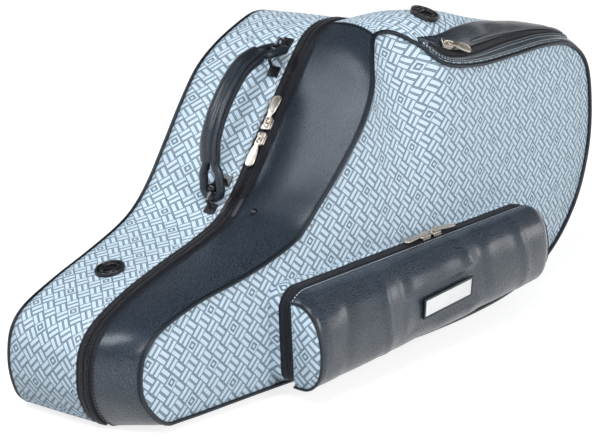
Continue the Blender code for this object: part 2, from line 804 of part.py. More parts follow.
def build_handle(parts, tree):
    """An arched grip on two cord loops that swing on wire brackets sewn to the slope."""
    y = -BASE_DEPTH + HANDLE_INSET
    slope = Vector((HANDLE_HIGH_SHARES[0] - HANDLE_LOW_SHARES[0], 0, 0)) * CASE_LENGTH
    slope.z = (HANDLE_HIGH_SHARES[1] - HANDLE_LOW_SHARES[1]) * CASE_HEIGHT
    outward = Vector((-slope.z, 0, slope.x)).normalized()
    low, _ = on_side(tree, HANDLE_LOW_SHARES, y, outward)
    high, _ = on_side(tree, HANDLE_HIGH_SHARES, y, outward)
    along = (high - low).normalized()
    outward = Vector((-along.z, 0, along.x))
    length = (high - low).length
    chord = frame_at(low, along, outward)
    swing = new_frame("handle_swing", parts, chord @ Matrix.Translation((0, 0, BRACKET_RISE)))
    for name, x in (("low", 0), ("high", length)):
        build_bracket(name, parts, tree, chord, x)
    path = [
        Vector((x * length, 0, z * HANDLE_RISE - BRACKET_RISE)) for x, z in GRIP_PATH_SHARES
    ]
    radii = GRIP_THICKNESS_SHARES
    tube("handle_grip", path, GRIP_RADIUS, LEATHER, swing, resolution=3, radii=radii)
    for name, end, bar in (("low", path[0], 0), ("high", path[-1], length)):
        build_loop(name, swing, Vector((bar, 0, 0)), end)


def build_bracket(name, parts, tree, chord, x):
    """A bent wire that stands on two square feet."""
    half = BRACKET_SPAN / 2
    feet = []
    for step in (-1, 1):
        above = chord @ Vector((x + step * half, 0, CASE_HEIGHT / 4))
        outward = chord.to_3x3().col[2]
        place, normal = seat(tree, above, -outward)
        foot = frame_at(place, chord.to_3x3().col[0], normal)
        feet.append(raised_clear(tree, foot, square_points(0, FOOT_SIDE / 2), CLEARANCE))
    inverse = chord.inverted()
    grounds = [inverse @ (foot @ Vector((0, 0, FOOT_THICKNESS / 2))) for foot in feet]
    tops = [Vector((x + step * (half - BRACKET_WIRE_RADIUS * 2), 0, BRACKET_RISE)) for step in (-1, 1)]
    path = [grounds[0], tops[0], tops[1], grounds[1]]
    wire = tube("handle_bracket_" + name, path, BRACKET_WIRE_RADIUS, BLACK_METAL, parts, matrix=chord)
    bracket = as_mesh(wire)
    half_side = FOOT_SIDE / 2
    for i, foot in enumerate(feet):
        plate = box_mesh("foot", (-half_side, -half_side, 0), (half_side, half_side, FOOT_THICKNESS))
        helper = new_helper("handle_foot_{}_{}".format(name, i), plate, parts, foot)
        join_with(bracket, helper)
    bar = chord @ Matrix.Translation((x, 0, BRACKET_RISE)) @ Matrix.Rotation(pi / 2, 4, "Y")
    build_bead(name, parts, bar)


def build_bead(name, parts, matrix):
    """A round bead threaded on the bracket's bar, which the loop turns on."""
    radius = LOOP_HALF_WIDTH * cos(pi / LOOP_STEPS / 2) - LOOP_CORD_RADIUS - CLEARANCE
    steps = 8
    turns = [pi * i / steps for i in range(steps + 1)]
    profile = [(radius * sin(turn), -radius * cos(turn)) for turn in turns]
    bead = turned("handle_bead_" + name, profile, 16, BLACK_METAL, parts, matrix)
    bore = rod_mesh("bore", (BRACKET_WIRE_RADIUS + CLEARANCE) / cos(pi / 12), radius * 3, 12)
    join_with(bead, new_helper("handle_bore_" + name, bore, parts, matrix), "DIFFERENCE")


def build_loop(name, swing, bar, end):
    """A cord loop from the grip's end round the bead on the bracket's bar."""
    up = (end - bar).normalized()
    reach = (end - bar).length - CLEARANCE * 2 - LOOP_CORD_RADIUS - LOOP_HALF_WIDTH
    frame = Matrix((up.cross(Vector((0, 1, 0))), Vector((0, 1, 0)), up)).transposed().to_4x4()
    frame.translation = bar
    points = []
    for centre, turn in ((reach, 0), (0, pi)):
        for i in range(LOOP_STEPS + 1):
            spoke = Matrix.Rotation(turn + pi * i / LOOP_STEPS, 2) @ Vector((LOOP_HALF_WIDTH, 0))
            points.append((0, spoke.x, centre + spoke.y))
    loop = "handle_loop_" + name
    tube(loop, points, LOOP_CORD_RADIUS, LEATHER, swing, closed=True, resolution=3, matrix=frame)


# Strap lugs and the band's rivet


def build_lug(name, parts, tree, share, y):
    """A round strap lug: a dished base with a fixed staple, and a ring that folds flat into it."""
    place, _ = from_above(tree, share, y)
    near = [
        from_above(tree, share + a * LUG_RADIUS / CASE_LENGTH, y + b * LUG_RADIUS)[1]
        for a, b in disc_points(1)
    ]
    seated = frame_at(place, Vector((1, 0, 0)), sum(near, Vector((0, 0, 0))))
    frame_matrix = raised_clear(tree, seated, disc_points(LUG_RADIUS), CLEARANCE)
    inner = LUG_RADIUS - LUG_RIM
    profile = [
        (0, 0), (LUG_RADIUS, 0), (LUG_RADIUS, LUG_HEIGHT * 0.45),
        (LUG_RADIUS - LUG_RIM / 2, LUG_HEIGHT), (inner, LUG_HEIGHT), (inner, LUG_FLOOR), (0, LUG_FLOOR),
    ]
    base = turned(name + "_base", profile, 24, BLACK_METAL, parts, frame_matrix)
    ring_z = LUG_FLOOR + RING_WIRE_RADIUS + CLEARANCE
    bar_z = ring_z + RING_WIRE_RADIUS + LUG_BAR_RADIUS + CLEARANCE
    reach = RING_WIRE_RADIUS + LUG_BAR_RADIUS + CLEARANCE * 2
    sunk = LUG_FLOOR / 2
    near, far = reach - RING_RADIUS, -reach - RING_RADIUS
    path = [(far, 0, sunk), (far, 0, bar_z), (near, 0, bar_z), (near, 0, sunk)]
    staple = as_mesh(tube(name + "_staple", path, LUG_BAR_RADIUS, BLACK_METAL, parts, matrix=frame_matrix))
    join_with(base, as_helper(staple))
    fold_place = frame_matrix @ Matrix.Translation((-RING_RADIUS, 0, ring_z))
    fold = new_frame(name + "_fold", parts, fold_place)
    ring = [(RING_RADIUS * (1 + x), RING_RADIUS * y, 0) for x, y in unit_circle(16)]
    tube(name + "_ring", ring, RING_WIRE_RADIUS, BLACK_METAL, fold, closed=True)


def unit_circle(count):
    arm = Vector((1, 0))
    return [tuple(Matrix.Rotation(2 * pi * i / count, 2) @ arm) for i in range(count)]


def build_band_rivet(parts, tree):
    y = -BASE_DEPTH - ZIP_WIDTH - LID_DEPTH * BAND_RIVET_SHARES[1]
    spot, normal = from_above(tree, BAND_RIVET_SHARES[0], y)
    seated = frame_at(spot, Vector((1, 0, 0)), normal)
    matrix = raised_clear(tree, seated, disc_points(RIVET_RADIUS), CLEARANCE)
    profile = [
        (0, 0), (RIVET_RADIUS, 0), (RIVET_RADIUS, RIVET_HEIGHT / 3),
        (RIVET_RADIUS * 0.6, RIVET_HEIGHT * 0.85), (0, RIVET_HEIGHT),
    ]
    turned("band_rivet", profile, 12, BLACK_METAL, parts, matrix)


# Lower pocket


def pocket_height(x):
    return POCKET_HEIGHT * (1 + (POCKET_TAPER_SHARES[0] - 1) * x / POCKET_LENGTH)


def pocket_depth(x):
    return POCKET_DEPTH * (1 + (POCKET_TAPER_SHARES[1] - 1) * x / POCKET_LENGTH)


def pocket_loop(y, inset=0.0):
    """The pocket's outline at one depth: a long box with round corners, clockwise from outside."""
    right = POCKET_LENGTH - inset
    corners = [
        (inset, inset, pi, POCKET_CORNER), (inset, pocket_height(0) - inset, pi / 2, POCKET_TOP_CORNER),
        (right, pocket_height(POCKET_LENGTH) - inset, 0, POCKET_TOP_CORNER),
        (right, inset, -pi / 2, POCKET_CORNER),
    ]
    loop = []
    for x, z, start, corner in corners:
        radius = corner - inset
        centre = Vector((x + (radius if x < POCKET_LENGTH / 2 else -radius), 0, 0))
        centre.z = z + (radius if z < POCKET_HEIGHT / 2 else -radius)
        for i in range(4):
            turn = start + pi / 2 - (pi / 2) * i / 3
            spoke = Matrix.Rotation(turn, 2) @ Vector((radius, 0))
            loop.append(Vector((centre.x + spoke.x, y, centre.z + spoke.y)))
    return loop


def with_steps(loop, most):
    """A closed loop with its long sides cut into steps no longer than the most."""
    stepped = []
    for i, a in enumerate(loop):
        b = loop[(i + 1) % len(loop)]
        steps = max(1, round((b - a).length / most))
        stepped += [a.lerp(b, k / steps) for k in range(steps)]
    return stepped


def inset_outline(points, distance):
    """A flat outline's corners moved inwards so that each of its sides moves by the distance."""
    moved = []
    count = len(points)
    turning = sum(
        points[i - 1][0] * points[i][1] - points[i][0] * points[i - 1][1] for i in range(count)
    )
    side = 1 if turning > 0 else -1
    for i in range(count):
        before, here, after = (Vector(points[(i + step) % count]) for step in (-1, 0, 1))
        normals = [
            (-(b - a).y * side, (b - a).x * side) for a, b in ((before, here), (here, after))
        ]
        normals = np.array([Vector(n).normalized() for n in normals])
        shift, *_ = np.linalg.lstsq(normals, np.ones(2), rcond=LEAST_BEND)
        moved.append(here + Vector(shift) * distance)
    return moved


def cover_height(x):
    """The pocket's height at a place along it, cut back near its ends by the zip's round corners."""
    from_end = min(x, POCKET_LENGTH - x)
    near = max(0, POCKET_TOP_CORNER - from_end) * END_CUT_SHARE
    return pocket_height(x) - POCKET_TOP_CORNER + sqrt(POCKET_TOP_CORNER ** 2 - near ** 2)


def pocket_section(x):
    """The cover's section at one place along it, as (forward, up) from the hinge line."""
    start = POCKET_ZIP + CLEARANCE
    return [
        (start + forward * pocket_depth(x), up * cover_height(x)) for forward, up in POCKET_SECTION_SHARES
    ]


def build_pocket(parts, lid_tree):
    """The long pocket: a cloth band on the lid, a zip round three sides and a cover that drops."""
    place = Vector((POCKET_PLACE_SHARES[0] * CASE_LENGTH, 0, POCKET_PLACE_SHARES[2] * CASE_HEIGHT))
    place.y = -BASE_DEPTH - ZIP_WIDTH - POCKET_PLACE_SHARES[1] * LID_DEPTH
    turn = Matrix.Rotation(POCKET_YAW, 4, "Z") @ Matrix.Rotation(POCKET_PITCH, 4, "Y")
    matrix = Matrix.Translation(place) @ turn
    pocket = new_frame("pocket", parts, matrix)
    cover = new_frame("pocket_cover_hinge", pocket, Matrix.Identity(4))
    rear = []
    backwards = matrix.to_3x3() @ Vector((0, 1, 0))
    for point in with_steps(pocket_loop(0), BAND_STEP):
        hit, _ = seat(lid_tree, matrix @ point, backwards)
        rear.append(matrix.inverted() @ hit - Vector((0, BAND_CLEARANCE, 0)))
    band_front = with_steps(pocket_loop(POCKET_ZIP + CLEARANCE), BAND_STEP)
    walled_loft("pocket_band", [rear, band_front], CLOTH, pocket, 0, POCKET_WALL)
    first, last = 3, 12
    top = -TEETH_HEIGHT - CLEARANCE
    for side, parent, way in (("back", pocket, 1), ("front", cover, -1)):
        near, far = pocket_loop(way * CLEARANCE), pocket_loop(way * POCKET_ZIP)
        teeth_far = pocket_loop(way * (CLEARANCE + TEETH_WIDTH))
        tape = [far, near][::way]
        walled_loft("pocket_tape_" + side, tape, ZIP, parent, 0, COVER_WALL)
        teeth = [run_of(ring, first, last, TEETH_WIDTH) for ring in (teeth_far, near)][::way]
        walled_loft("pocket_teeth_" + side, teeth, ZIP, parent, top, -CLEARANCE, closed=False)
    build_pocket_cover(cover)
    start = Vector((POCKET_TOP_CORNER, 0, pocket_height(0)))
    end = Vector((POCKET_LENGTH - POCKET_TOP_CORNER, 0, pocket_height(POCKET_LENGTH)))
    along = (end - start).normalized()
    up = Vector((-along.z, 0, along.x))
    meet = start.lerp(end, POCKET_SLIDERS_SHARE)
    for name, way in (("pocket_slider_right", 1), ("pocket_slider_left", -1)):
        spot = meet + along * way * SLIDERS_APART / 2
        build_slider(name, pocket, frame_at(spot, along * way, up))


def build_pocket_cover(cover):
    sections = []
    corner = POCKET_TOP_CORNER
    ends = (0, corner / 3, corner * 2 / 3, corner)
    for x in (*(POCKET_LENGTH - x for x in ends), POCKET_LENGTH / 2, *reversed(ends)):
        sections.append([Vector((x, -forward, up)) for forward, up in pocket_section(x)])
    walled_loft("pocket_cover", sections, LEATHER, cover, 0, POCKET_WALL, closed=False)
    for name, x, way in (("left", 0, 1), ("right", POCKET_LENGTH, -1)):
        outline = inset_outline(pocket_section(x), POCKET_WALL * 1.25 + CLEARANCE)
        facing = Matrix(((0, 0, -1), (-1, 0, 0), (0, 1, 0))).to_4x4()
        facing.translation = (x + way * POCKET_WALL / 2, 0, 0)
        flat_curve("pocket_end_" + name, [outline], POCKET_WALL, CLOTH, cover, facing)
    surface = tree_of(loft(sections, closed=False))
    x = PLATE_SHARES[0] * POCKET_LENGTH
    z = PLATE_SHARES[1] * pocket_height(x)
    spot, normal = seat(surface, Vector((x, -CASE_LENGTH, z)), Vector((0, 1, 0)))
    half_length = PLATE_LENGTH / 2
    half_height = PLATE_HEIGHT / 2
    corners = [(a * half_length, b * half_height) for a in (-1, 0, 1) for b in (-1, -0.5, 0, 0.5, 1)]
    seated = frame_at(spot, Vector((1, 0, 0)), normal)
    matrix = raised_clear(surface, seated, corners, CLEARANCE)
    outer = box_outline(half_length, half_height)
    inner = box_outline(half_length - PLATE_FRAME, half_height - PLATE_FRAME)
    lift = Matrix.Translation((0, 0, PLATE_THICKNESS / 2))
    flat_curve("plate_frame", [outer, inner], PLATE_THICKNESS, LEATHER, cover, matrix @ lift)
    drawn_in = PLATE_FRAME + CLEARANCE
    plate = box_outline(half_length - drawn_in, half_height - drawn_in)
    flat_curve("name_plate_blank", [plate], PLATE_THICKNESS * 2 / 3, PLATE, cover, matrix @ lift)


def box_outline(half_length, half_height):
    return [
        (-half_length, -half_height), (half_length, -half_height),
        (half_length, half_height), (-half_length, half_height),
    ]


# Upper pocket, on top of the bell


def over_roll(roll, i, share):
    """A point of the bell's roll, at a share of the way from its crown to the front panel."""
    crown, middle, edge = (ring[i] for ring in roll)
    if share < 0.5:
        return crown.lerp(middle, share * 2)
    return middle.lerp(edge, share * 2 - 1)


def roll_line(roll, column, share_between=0.0, first=0, last=None):
    """One line of the upper pocket, from its table, or part of the way to the table's next column."""
    start = index_of(UPPER_POCKET_START)
    line = []
    for i, row in enumerate(UPPER_POCKET_SHARES[first:last], first):
        share = row[column]
        if share_between:
            share += (row[column + 1] - share) * share_between
        line.append(over_roll(roll, start + i, share))
    return line


def roll_fold(roll):
    """The middle ring's stretch of the upper pocket, kept between its upper edge and the zip."""
    start = index_of(UPPER_POCKET_START)
    line = []
    for i, row in enumerate(UPPER_POCKET_SHARES):
        share = min(max(0.5, (row[0] + row[1]) / 2), (row[0] + 2 * row[1]) / 3)
        line.append(over_roll(roll, start + i, share))
    return line


def build_upper_pocket(parts, roll):
    """A flat leather pocket on the bell's cloth, with a zip along it."""
    low = UPPER_PANEL_GAP
    high = low + UPPER_PANEL_WALL
    lines = [roll_line(roll, 0), roll_fold(roll), *(roll_line(roll, column) for column in (1, 2, 3))]
    walled_loft("upper_pocket_panel", lines, LEATHER, parts, -high, -low, closed=False)
    tape_low = high + CLEARANCE
    tape_high = tape_low + COVER_WALL
    tape = [roll_line(roll, column, first=1, last=-1) for column in (1, 2)]
    walled_loft("upper_zip_tape", tape, ZIP, parts, -tape_high, -tape_low, closed=False)
    teeth_low = tape_high + CLEARANCE * 2
    teeth_high = teeth_low + TEETH_HEIGHT
    teeth = [roll_line(roll, 1, share, first=1, last=-1) for share in UPPER_TEETH_SHARES]
    walled_loft("upper_zip_teeth", teeth, ZIP, parts, -teeth_high, -teeth_low, closed=False)
    start, _, end = roll_line(roll, 1, 0.5, first=1, last=4)
    along = (end - start).normalized()
    above, below = (roll_line(roll, column, first=1, last=2)[0] for column in (1, 2))
    up = (below - above).cross(along).normalized()
    place = start.lerp(end, UPPER_SLIDER_SHARE) + up * (tape_high + UPPER_ZIP_SLACK)
    build_slider("upper_slider", parts, frame_at(place, along, up))


# Foam fittings that hold the instrument


def build_fittings(parts, lid_tree):
    floor = COVER_WALL + COVER_TO_SHELL + SHELL_WALL + LINING_WALL + 2 * CLEARANCE
    for name, shares, radius in (
        ("body_cradle", BODY_CRADLE_SHARES, BODY_SADDLE_RADIUS),
        ("bell_cradle", BELL_CRADLE_SHARES, BELL_SADDLE_RADIUS),
    ):
        x = shares[0] * CASE_LENGTH
        top = shares[1] * CASE_HEIGHT
        half = CRADLE_THICKNESS / 2
        front = -floor - CRADLE_DEPTH
        block = box_mesh(name, (x - half, front, floor), (x + half, -floor, top))
        made = new_object(name, block, PLUSH, parts)
        lying = Matrix.Translation((x, front, (floor + top) / 2)) @ Matrix.Rotation(pi / 2, 4, "Y")
        rod = rod_mesh(name + "_saddle", min(radius, CRADLE_DEPTH * 0.85), CRADLE_THICKNESS * 2, 24)
        cutter = new_helper(name + "_saddle", rod, parts, lying)
        join_with(made, cutter, "DIFFERENCE")
    start, end, height = DIVIDER_SHARES
    low = (start * CASE_LENGTH, -floor - CRADLE_DEPTH, height * CASE_HEIGHT - DIVIDER_THICKNESS / 2)
    high = (end * CASE_LENGTH, -floor, height * CASE_HEIGHT + DIVIDER_THICKNESS / 2)
    new_object("accessory_wall", box_mesh("accessory_wall", low, high), PLUSH, parts)
    build_lid_pad(parts, lid_tree, floor)


def build_lid_pad(parts, lid_tree, floor):
    """A pad behind the front panel that presses on the instrument when the lid is closed."""
    left, right, bottom, top = LID_PAD_SHARES
    rows = []
    for z_share in (top, (top + bottom) / 2, bottom):
        row = []
        for i in range(5):
            x = (left + (right - left) * i / 4) * CASE_LENGTH
            start = Vector((x, -CASE_LENGTH, z_share * CASE_HEIGHT))
            row.append(seat(lid_tree, start, Vector((0, 1, 0)))[0])
        rows.append(row)
    outer = floor + COVER_WALL
    walled_loft("lid_pad", rows, PLUSH, parts, outer, outer + LID_PAD_THICKNESS, closed=False)


def stand_on_floor(root):
    """Moves the case so that the middle of its footprint is the origin and it stands on Z = 0."""
    bpy.context.view_layer.update()
    graph = bpy.context.evaluated_depsgraph_get()
    low = Vector((CASE_LENGTH, CASE_LENGTH, CASE_LENGTH)) * 2
    high = -low
    for made in CASE.objects:
        evaluated = made.evaluated_get(graph)
        mesh = evaluated.to_mesh()
        for vertex in mesh.vertices:
            p = made.matrix_world @ vertex.co
            low = Vector(map(min, low, p))
            high = Vector(map(max, high, p))
        evaluated.to_mesh_clear()
    root.location = (-(low.x + high.x) / 2, -(low.y + high.y) / 2, -low.z)


clear_scene()
CASE = new_collection("tenor_saxophone_case")
HELPERS = new_collection("helpers")
LEATHER = new_material("black_leather", BLACK_LEATHER, 0.42)
CLOTH = new_material("pale_woven_cloth", PALE_CLOTH, 0.75)
ZIP = new_material("zip_black", ZIP_BLACK, 0.55)
METAL = new_material("warm_silver", WARM_SILVER, 0.35, 1.0)
BLACK_METAL = new_material("black_metal", BLACK_LACQUER, 0.30)
PLUSH = new_material("black_plush", PLUSH_BLACK, 0.95)
FOAM = new_material("grey_foam", FOAM_GREY, 0.90)
PLATE = new_material("white_plate", PLATE_WHITE, 0.35)


def main():
    root = new_frame("case_origin")
    base_tree = build_base(root)
    hinge = Matrix.Translation((0, -BASE_DEPTH - ZIP_WIDTH / 2, 0))
    new_frame("lid_hinge", root, hinge)
    lid_tree, roll = build_lid(root)
    build_main_sliders(root)
    build_handle(root, base_tree)
    build_lug("neck_lug", root, base_tree, NECK_LUG_SHARES[0], -BASE_DEPTH * NECK_LUG_SHARES[1])
    bell_y = -BASE_DEPTH - ZIP_WIDTH - LID_DEPTH * BELL_LUG_SHARES[1]
    build_lug("bell_lug", root, lid_tree, BELL_LUG_SHARES[0], bell_y)
    build_band_rivet(root, lid_tree)
    build_pocket(root, lid_tree)
    build_upper_pocket(root, roll)
    build_fittings(root, lid_tree)
    stand_on_floor(root)


main()
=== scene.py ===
"""Looks of a shaped tenor saxophone case: woven cloth, leather, zips, pockets and metal fittings.

Everything is in metres in the case's own frame: +X runs from the neck end to the bell end,
+Z is up and -Y points out of the pocketed lid. Case coordinates start at the back panel's plane,
at the neck end and on the floor.
"""

import json
from math import cos, pi, radians, sin, sqrt

import bmesh
import bpy
import numpy as np
from mathutils import Matrix, Vector, noise
from mathutils.bvhtree import BVHTree


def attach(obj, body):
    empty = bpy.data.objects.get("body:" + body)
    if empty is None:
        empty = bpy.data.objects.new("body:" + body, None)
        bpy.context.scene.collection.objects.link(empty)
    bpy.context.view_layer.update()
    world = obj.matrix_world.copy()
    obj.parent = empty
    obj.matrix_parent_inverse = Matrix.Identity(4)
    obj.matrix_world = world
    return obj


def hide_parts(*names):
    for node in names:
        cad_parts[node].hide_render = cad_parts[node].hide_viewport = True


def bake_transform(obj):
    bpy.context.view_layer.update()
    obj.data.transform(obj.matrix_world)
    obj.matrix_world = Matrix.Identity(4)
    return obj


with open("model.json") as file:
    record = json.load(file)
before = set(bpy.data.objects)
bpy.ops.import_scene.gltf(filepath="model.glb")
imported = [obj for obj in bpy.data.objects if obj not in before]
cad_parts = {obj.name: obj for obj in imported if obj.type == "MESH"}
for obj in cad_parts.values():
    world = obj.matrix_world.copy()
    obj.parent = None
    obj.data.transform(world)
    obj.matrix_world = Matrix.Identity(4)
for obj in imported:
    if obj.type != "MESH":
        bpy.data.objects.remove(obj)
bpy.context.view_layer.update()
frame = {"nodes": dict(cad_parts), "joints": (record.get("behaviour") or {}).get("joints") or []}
JOINTS = {joint["name"]: joint for joint in frame["joints"]}

# Driving sizes, as in the case's solids
CASE_LENGTH = 0.850
CASE_HEIGHT = 0.350
BASE_DEPTH = 0.096
ZIP_WIDTH = 0.020
LID_DEPTH = 0.124
BELL_BULGE = 0.040
FACE_PUFF = 0.0045
COVER_WALL = 0.0012
POCKET_WALL = 0.0016
TAPE_WALL = COVER_WALL * 0.7
STITCH_INSETS = (0.0030, 0.0062)
BAND_STITCH_INSETS = (0.0030, 0.0066)
RIM_WIDTH = 0.012
SINK = 0.0006
FLOOR_REACH = 9.0
SHELL_DEPTH = 0.0098
CLEARANCE = 0.0003
PIPING_RADIUS = 0.0026
PANEL_INSET = 0.0012
POCKET_LENGTH = 0.4250
POCKET_HEIGHT = 0.1000
POCKET_DEPTH = 0.0400
POCKET_ZIP = 0.0085
POCKET_CORNER = 0.0140
POCKET_TOP_CORNER = 0.0240
CORNER_STEPS = 10
POCKET_TAPER_SHARES = (0.847, 0.620)
GRIP_RADIUS = 0.0118
HANDLE_RISE = 0.0620
BRACKET_RISE = 0.0162
LOOP_CORD_RADIUS = 0.0048
LOOP_HALF_WIDTH = 0.0105
BEAD_RADIUS = 0.0054
LUG_RADIUS = 0.0160
LUG_HEIGHT = 0.0052
DISH_FLOOR = 0.0016
LUG_RIM = 0.0015
STAPLE_HALF_WIDTH = 0.0033
STAPLE_WIRE_RADIUS = 0.0013
RING_RADIUS = 0.0096
RING_WIRE_RADIUS = 0.0014
SLIDER_HINGE_HEIGHT = 0.00595
SLIDER_PLATE_HEIGHT = 0.0046

# Outlines, in thousandths of the case's length and height (and the lid's depth), clockwise seen
# from the lid
SEAM_SHARES = np.array([
    (65, 0), (26, 23), (4, 97), (0, 171), (7, 249), (35, 309), (94, 363), (165, 403),
    (235, 437), (285, 474), (322, 543), (356, 634), (406, 766.5), (456, 899), (482, 951), (512, 974),
    (544, 974), (574, 957), (609, 931), (656, 897), (729, 854), (824, 800), (906, 737), (967, 629),
    (995, 457), (988, 271), (953, 109), (888, 23), (800, 0), (624, 0), (424, 0), (224, 0),
]) / 1000
BACK_SHARES = np.array([
    (80, 0), (42, 23), (24, 97), (20, 177), (28, 251), (54, 303), (112, 349), (179, 391),
    (239, 434), (275, 477), (306, 543), (341, 646), (379, 760), (414, 846), (456, 903), (506, 946),
    (544, 966), (576, 954), (612, 934), (656, 903), (729, 854), (819, 797), (896, 731), (953, 623),
    (979, 451), (972, 266), (936, 103), (876, 23), (794, 0), (624, 0), (424, 0), (229, 0),
]) / 1000
EDGE_SHARES = np.array([
    (85, 23, 472), (47, 34, 435), (19, 106, 399), (12, 174, 391), (19, 254, 399), (47, 314, 432),
    (106, 363, 501), (176, 394, 583), (235, 431, 652), (276, 471, 700), (309, 543, 738), (347, 634, 782),
    (391, 749, 815), (426, 840, 766), (459, 917, 621), (492, 966, 508), (520, 969, 581), (538, 931, 774),
    (561, 869, 952), (629, 840, 1000), (718, 831, 1000), (806, 826, 1000), (876, 797, 992), (925, 714, 984),
    (940, 557, 984), (933, 400, 984), (900, 246, 984), (835, 120, 984), (741, 46, 984), (600, 29, 976),
    (424, 29, 863), (235, 29, 652),
]) / 1000
BULGE_SHARES = np.array([
    0.00, 0.00, 0.06, 0.06, 0.06, 0.06, 0.06, 0.06,
    0.05, 0.03, 0.00, 0.00, 0.00, 0.03, 0.08, 0.12,
    0.24, 0.55, 0.88, 0.95, 0.70, 0.50, 0.40, 0.40,
    0.40, 0.40, 0.35, 0.20, 0.00, 0.00, 0.00, 0.00,
])
SIDE_RING_SHARES = ((0.34, 0.85), (0.64, 1.00), (0.86, 0.60))
SPINE_SHARES = np.array([(0.085, 0.190), (0.260, 0.215), (0.420, 0.330), (0.560, 0.440), (0.850, 0.440)])
FACE_LEAN_SHARES = np.array([(0.012, 0.391), (0.235, 0.652), (0.424, 0.863), (0.600, 0.980), (0.740, 1.000)])

# Station numbers along the outlines, where each covering starts and ends
STATIONS = 32
BOTTOM_MIDDLE = -2.0
HINGE_STATIONS = (-4.0, 0.0)
ZIP_STATIONS = (0.0, 28.0)
LEATHER_STATIONS = (-4.0, 15.0)
BELL_CLOTH_STATIONS = (15.0, 28.0)

# Shares of the lower pocket and its cover
POCKET_SECTION_SHARES = [
    (0.00, 1.000), (0.30, 0.990), (0.60, 0.925), (0.84, 0.790), (0.97, 0.610),
    (1.00, 0.420), (0.94, 0.230), (0.76, 0.085), (0.44, 0.000), (0.00, 0.000),
]
POCKET_FOLD_SHARES = [(0.27, 0.012, 0.9), (0.33, 0.020, -0.7), (0.62, 0.016, 1.0), (0.68, 0.026, -0.9),
                      (0.86, 0.018, 0.7), (0.11, 0.020, -0.5)]
PLATE_SHARES = (0.516, 0.410)
POCKET_PLACE_SHARE = 0.221
PANEL_SLOPE_SHARE = 0.50
CORD_SHARE = 0.75
# The upper pocket's lip swells up past its slider's travel
LIP_START = 0.104
LIP_RUN = 0.030
END_CUT_SHARE = 0.80
GRIP_PATH_SHARES = [
    (0.115, 0.620), (0.200, 0.835), (0.325, 0.960), (0.470, 1.000),
    (0.615, 0.975), (0.745, 0.875), (0.865, 0.660),
]
# The upper pocket from its left tip to its right end: station number, then its upper edge, the
# zip's two sides and its lower edge, as shares of the way over the bell's roll
UPPER_POCKET = np.array([
    (17.0, 0.80, 0.84, 0.90, 0.95), (17.5, 0.60, 0.74, 0.86, 0.95), (18.0, 0.45, 0.74, 0.88, 0.95),
    (18.5, 0.34, 0.70, 0.87, 0.95), (19.0, 0.26, 0.64, 0.83, 0.95), (19.5, 0.17, 0.58, 0.77, 0.95),
    (20.0, 0.08, 0.53, 0.72, 0.95), (21.0, 0.03, 0.50, 0.68, 0.95), (22.0, 0.03, 0.50, 0.68, 0.95),
    (22.5, 0.05, 0.50, 0.68, 0.95),
])

# Where the photograph was taken from, in case coordinates
VIEW_AZIMUTH = radians(-56.4756)
VIEW_ELEVATION = radians(15.1188)
VIEW_ROLL = radians(-0.3391)
VIEW_DISTANCE = 3.1879
VIEW_TARGET = Vector((0.4255, -0.0800, 0.1172))
VIEW_LENS = 174.0
VIEW_SENSOR = 36.0

# Case coordinates in the frame: the back panel's plane, the neck end and the floor
ORIGIN = Vector((
    JOINTS["pocket_cover_drop"]["pos_m"][0] - POCKET_PLACE_SHARE * CASE_LENGTH,
    JOINTS["lid_hinge"]["pos_m"][1] + BASE_DEPTH + ZIP_WIDTH / 2,
    0.0,
))
PARTING = -BASE_DEPTH - ZIP_WIDTH / 2


# Smooth curves and surfaces through the outlines


def shares_of_four(t):
    """How much each of four neighbouring points counts, at a share t of the middle span."""
    return np.stack([
        -t ** 3 / 2 + t ** 2 - t / 2,
        1.5 * t ** 3 - 2.5 * t ** 2 + 1,
        -1.5 * t ** 3 + 2 * t ** 2 + t / 2,
        t ** 3 / 2 - t ** 2 / 2,
    ], -1)


def round_loop(stations, t):
    """Points of a smooth closed curve through the stations, at the given station numbers."""
    base = np.floor(t).astype(int)
    picks = (base[:, None] + np.arange(-1, 3)) % len(stations)
    return np.einsum("nk,nkd->nd", shares_of_four(t - base), stations[picks])


def through(rows, v):
    """Points of smooth open curves through rows of points, at the given row numbers."""
    rows = np.asarray(rows, float)
    base = np.clip(np.floor(v).astype(int), 0, len(rows) - 2)
    picks = np.clip(base[:, None] + np.arange(-1, 3), 0, len(rows) - 1)
    return np.einsum("mk,mk...->m...", shares_of_four(v - base), rows[picks])


def smoothed(points, count):
    """A smooth run through a few points."""
    return through(points, np.linspace(0, len(points) - 1, count))


def flat_stations(shares, y):
    return np.array([(ORIGIN.x + x * CASE_LENGTH, ORIGIN.y + y, z * CASE_HEIGHT) for x, z in shares])


def seam(y):
    return flat_stations(SEAM_SHARES, y)


def outward_of(ring):
    """The level directions out of a closed outline, square to it."""
    along = np.roll(ring, -1, 0) - np.roll(ring, 1, 0)
    return units(np.stack([-along[:, 2], np.zeros(len(ring)), along[:, 0]], -1))


def base_stations():
    return [flat_stations(BACK_SHARES, 0), seam(-BASE_DEPTH)]


def side_stations():
    """The lid's side from the zip to the front panel's edge, swollen over the bell."""
    start = seam(-BASE_DEPTH - ZIP_WIDTH)
    edge = flat_stations(EDGE_SHARES[:, :2], -BASE_DEPTH - ZIP_WIDTH)
    edge[:, 1] -= EDGE_SHARES[:, 2] * LID_DEPTH
    outward = outward_of(start)
    rows = [start]
    for share, swell in SIDE_RING_SHARES:
        push = outward * (BELL_BULGE * swell * BULGE_SHARES)[:, None]
        rows.append(start + (edge - start) * share + push)
    return [*rows, edge]


def patch(stations, t, v):
    """A grid of points, one row for each of v, through rings of stations."""
    return through(np.array([round_loop(ring, t) for ring in stations]), v)


def side_rows(count):
    return np.linspace(0, len(SIDE_RING_SHARES) + 1, count)


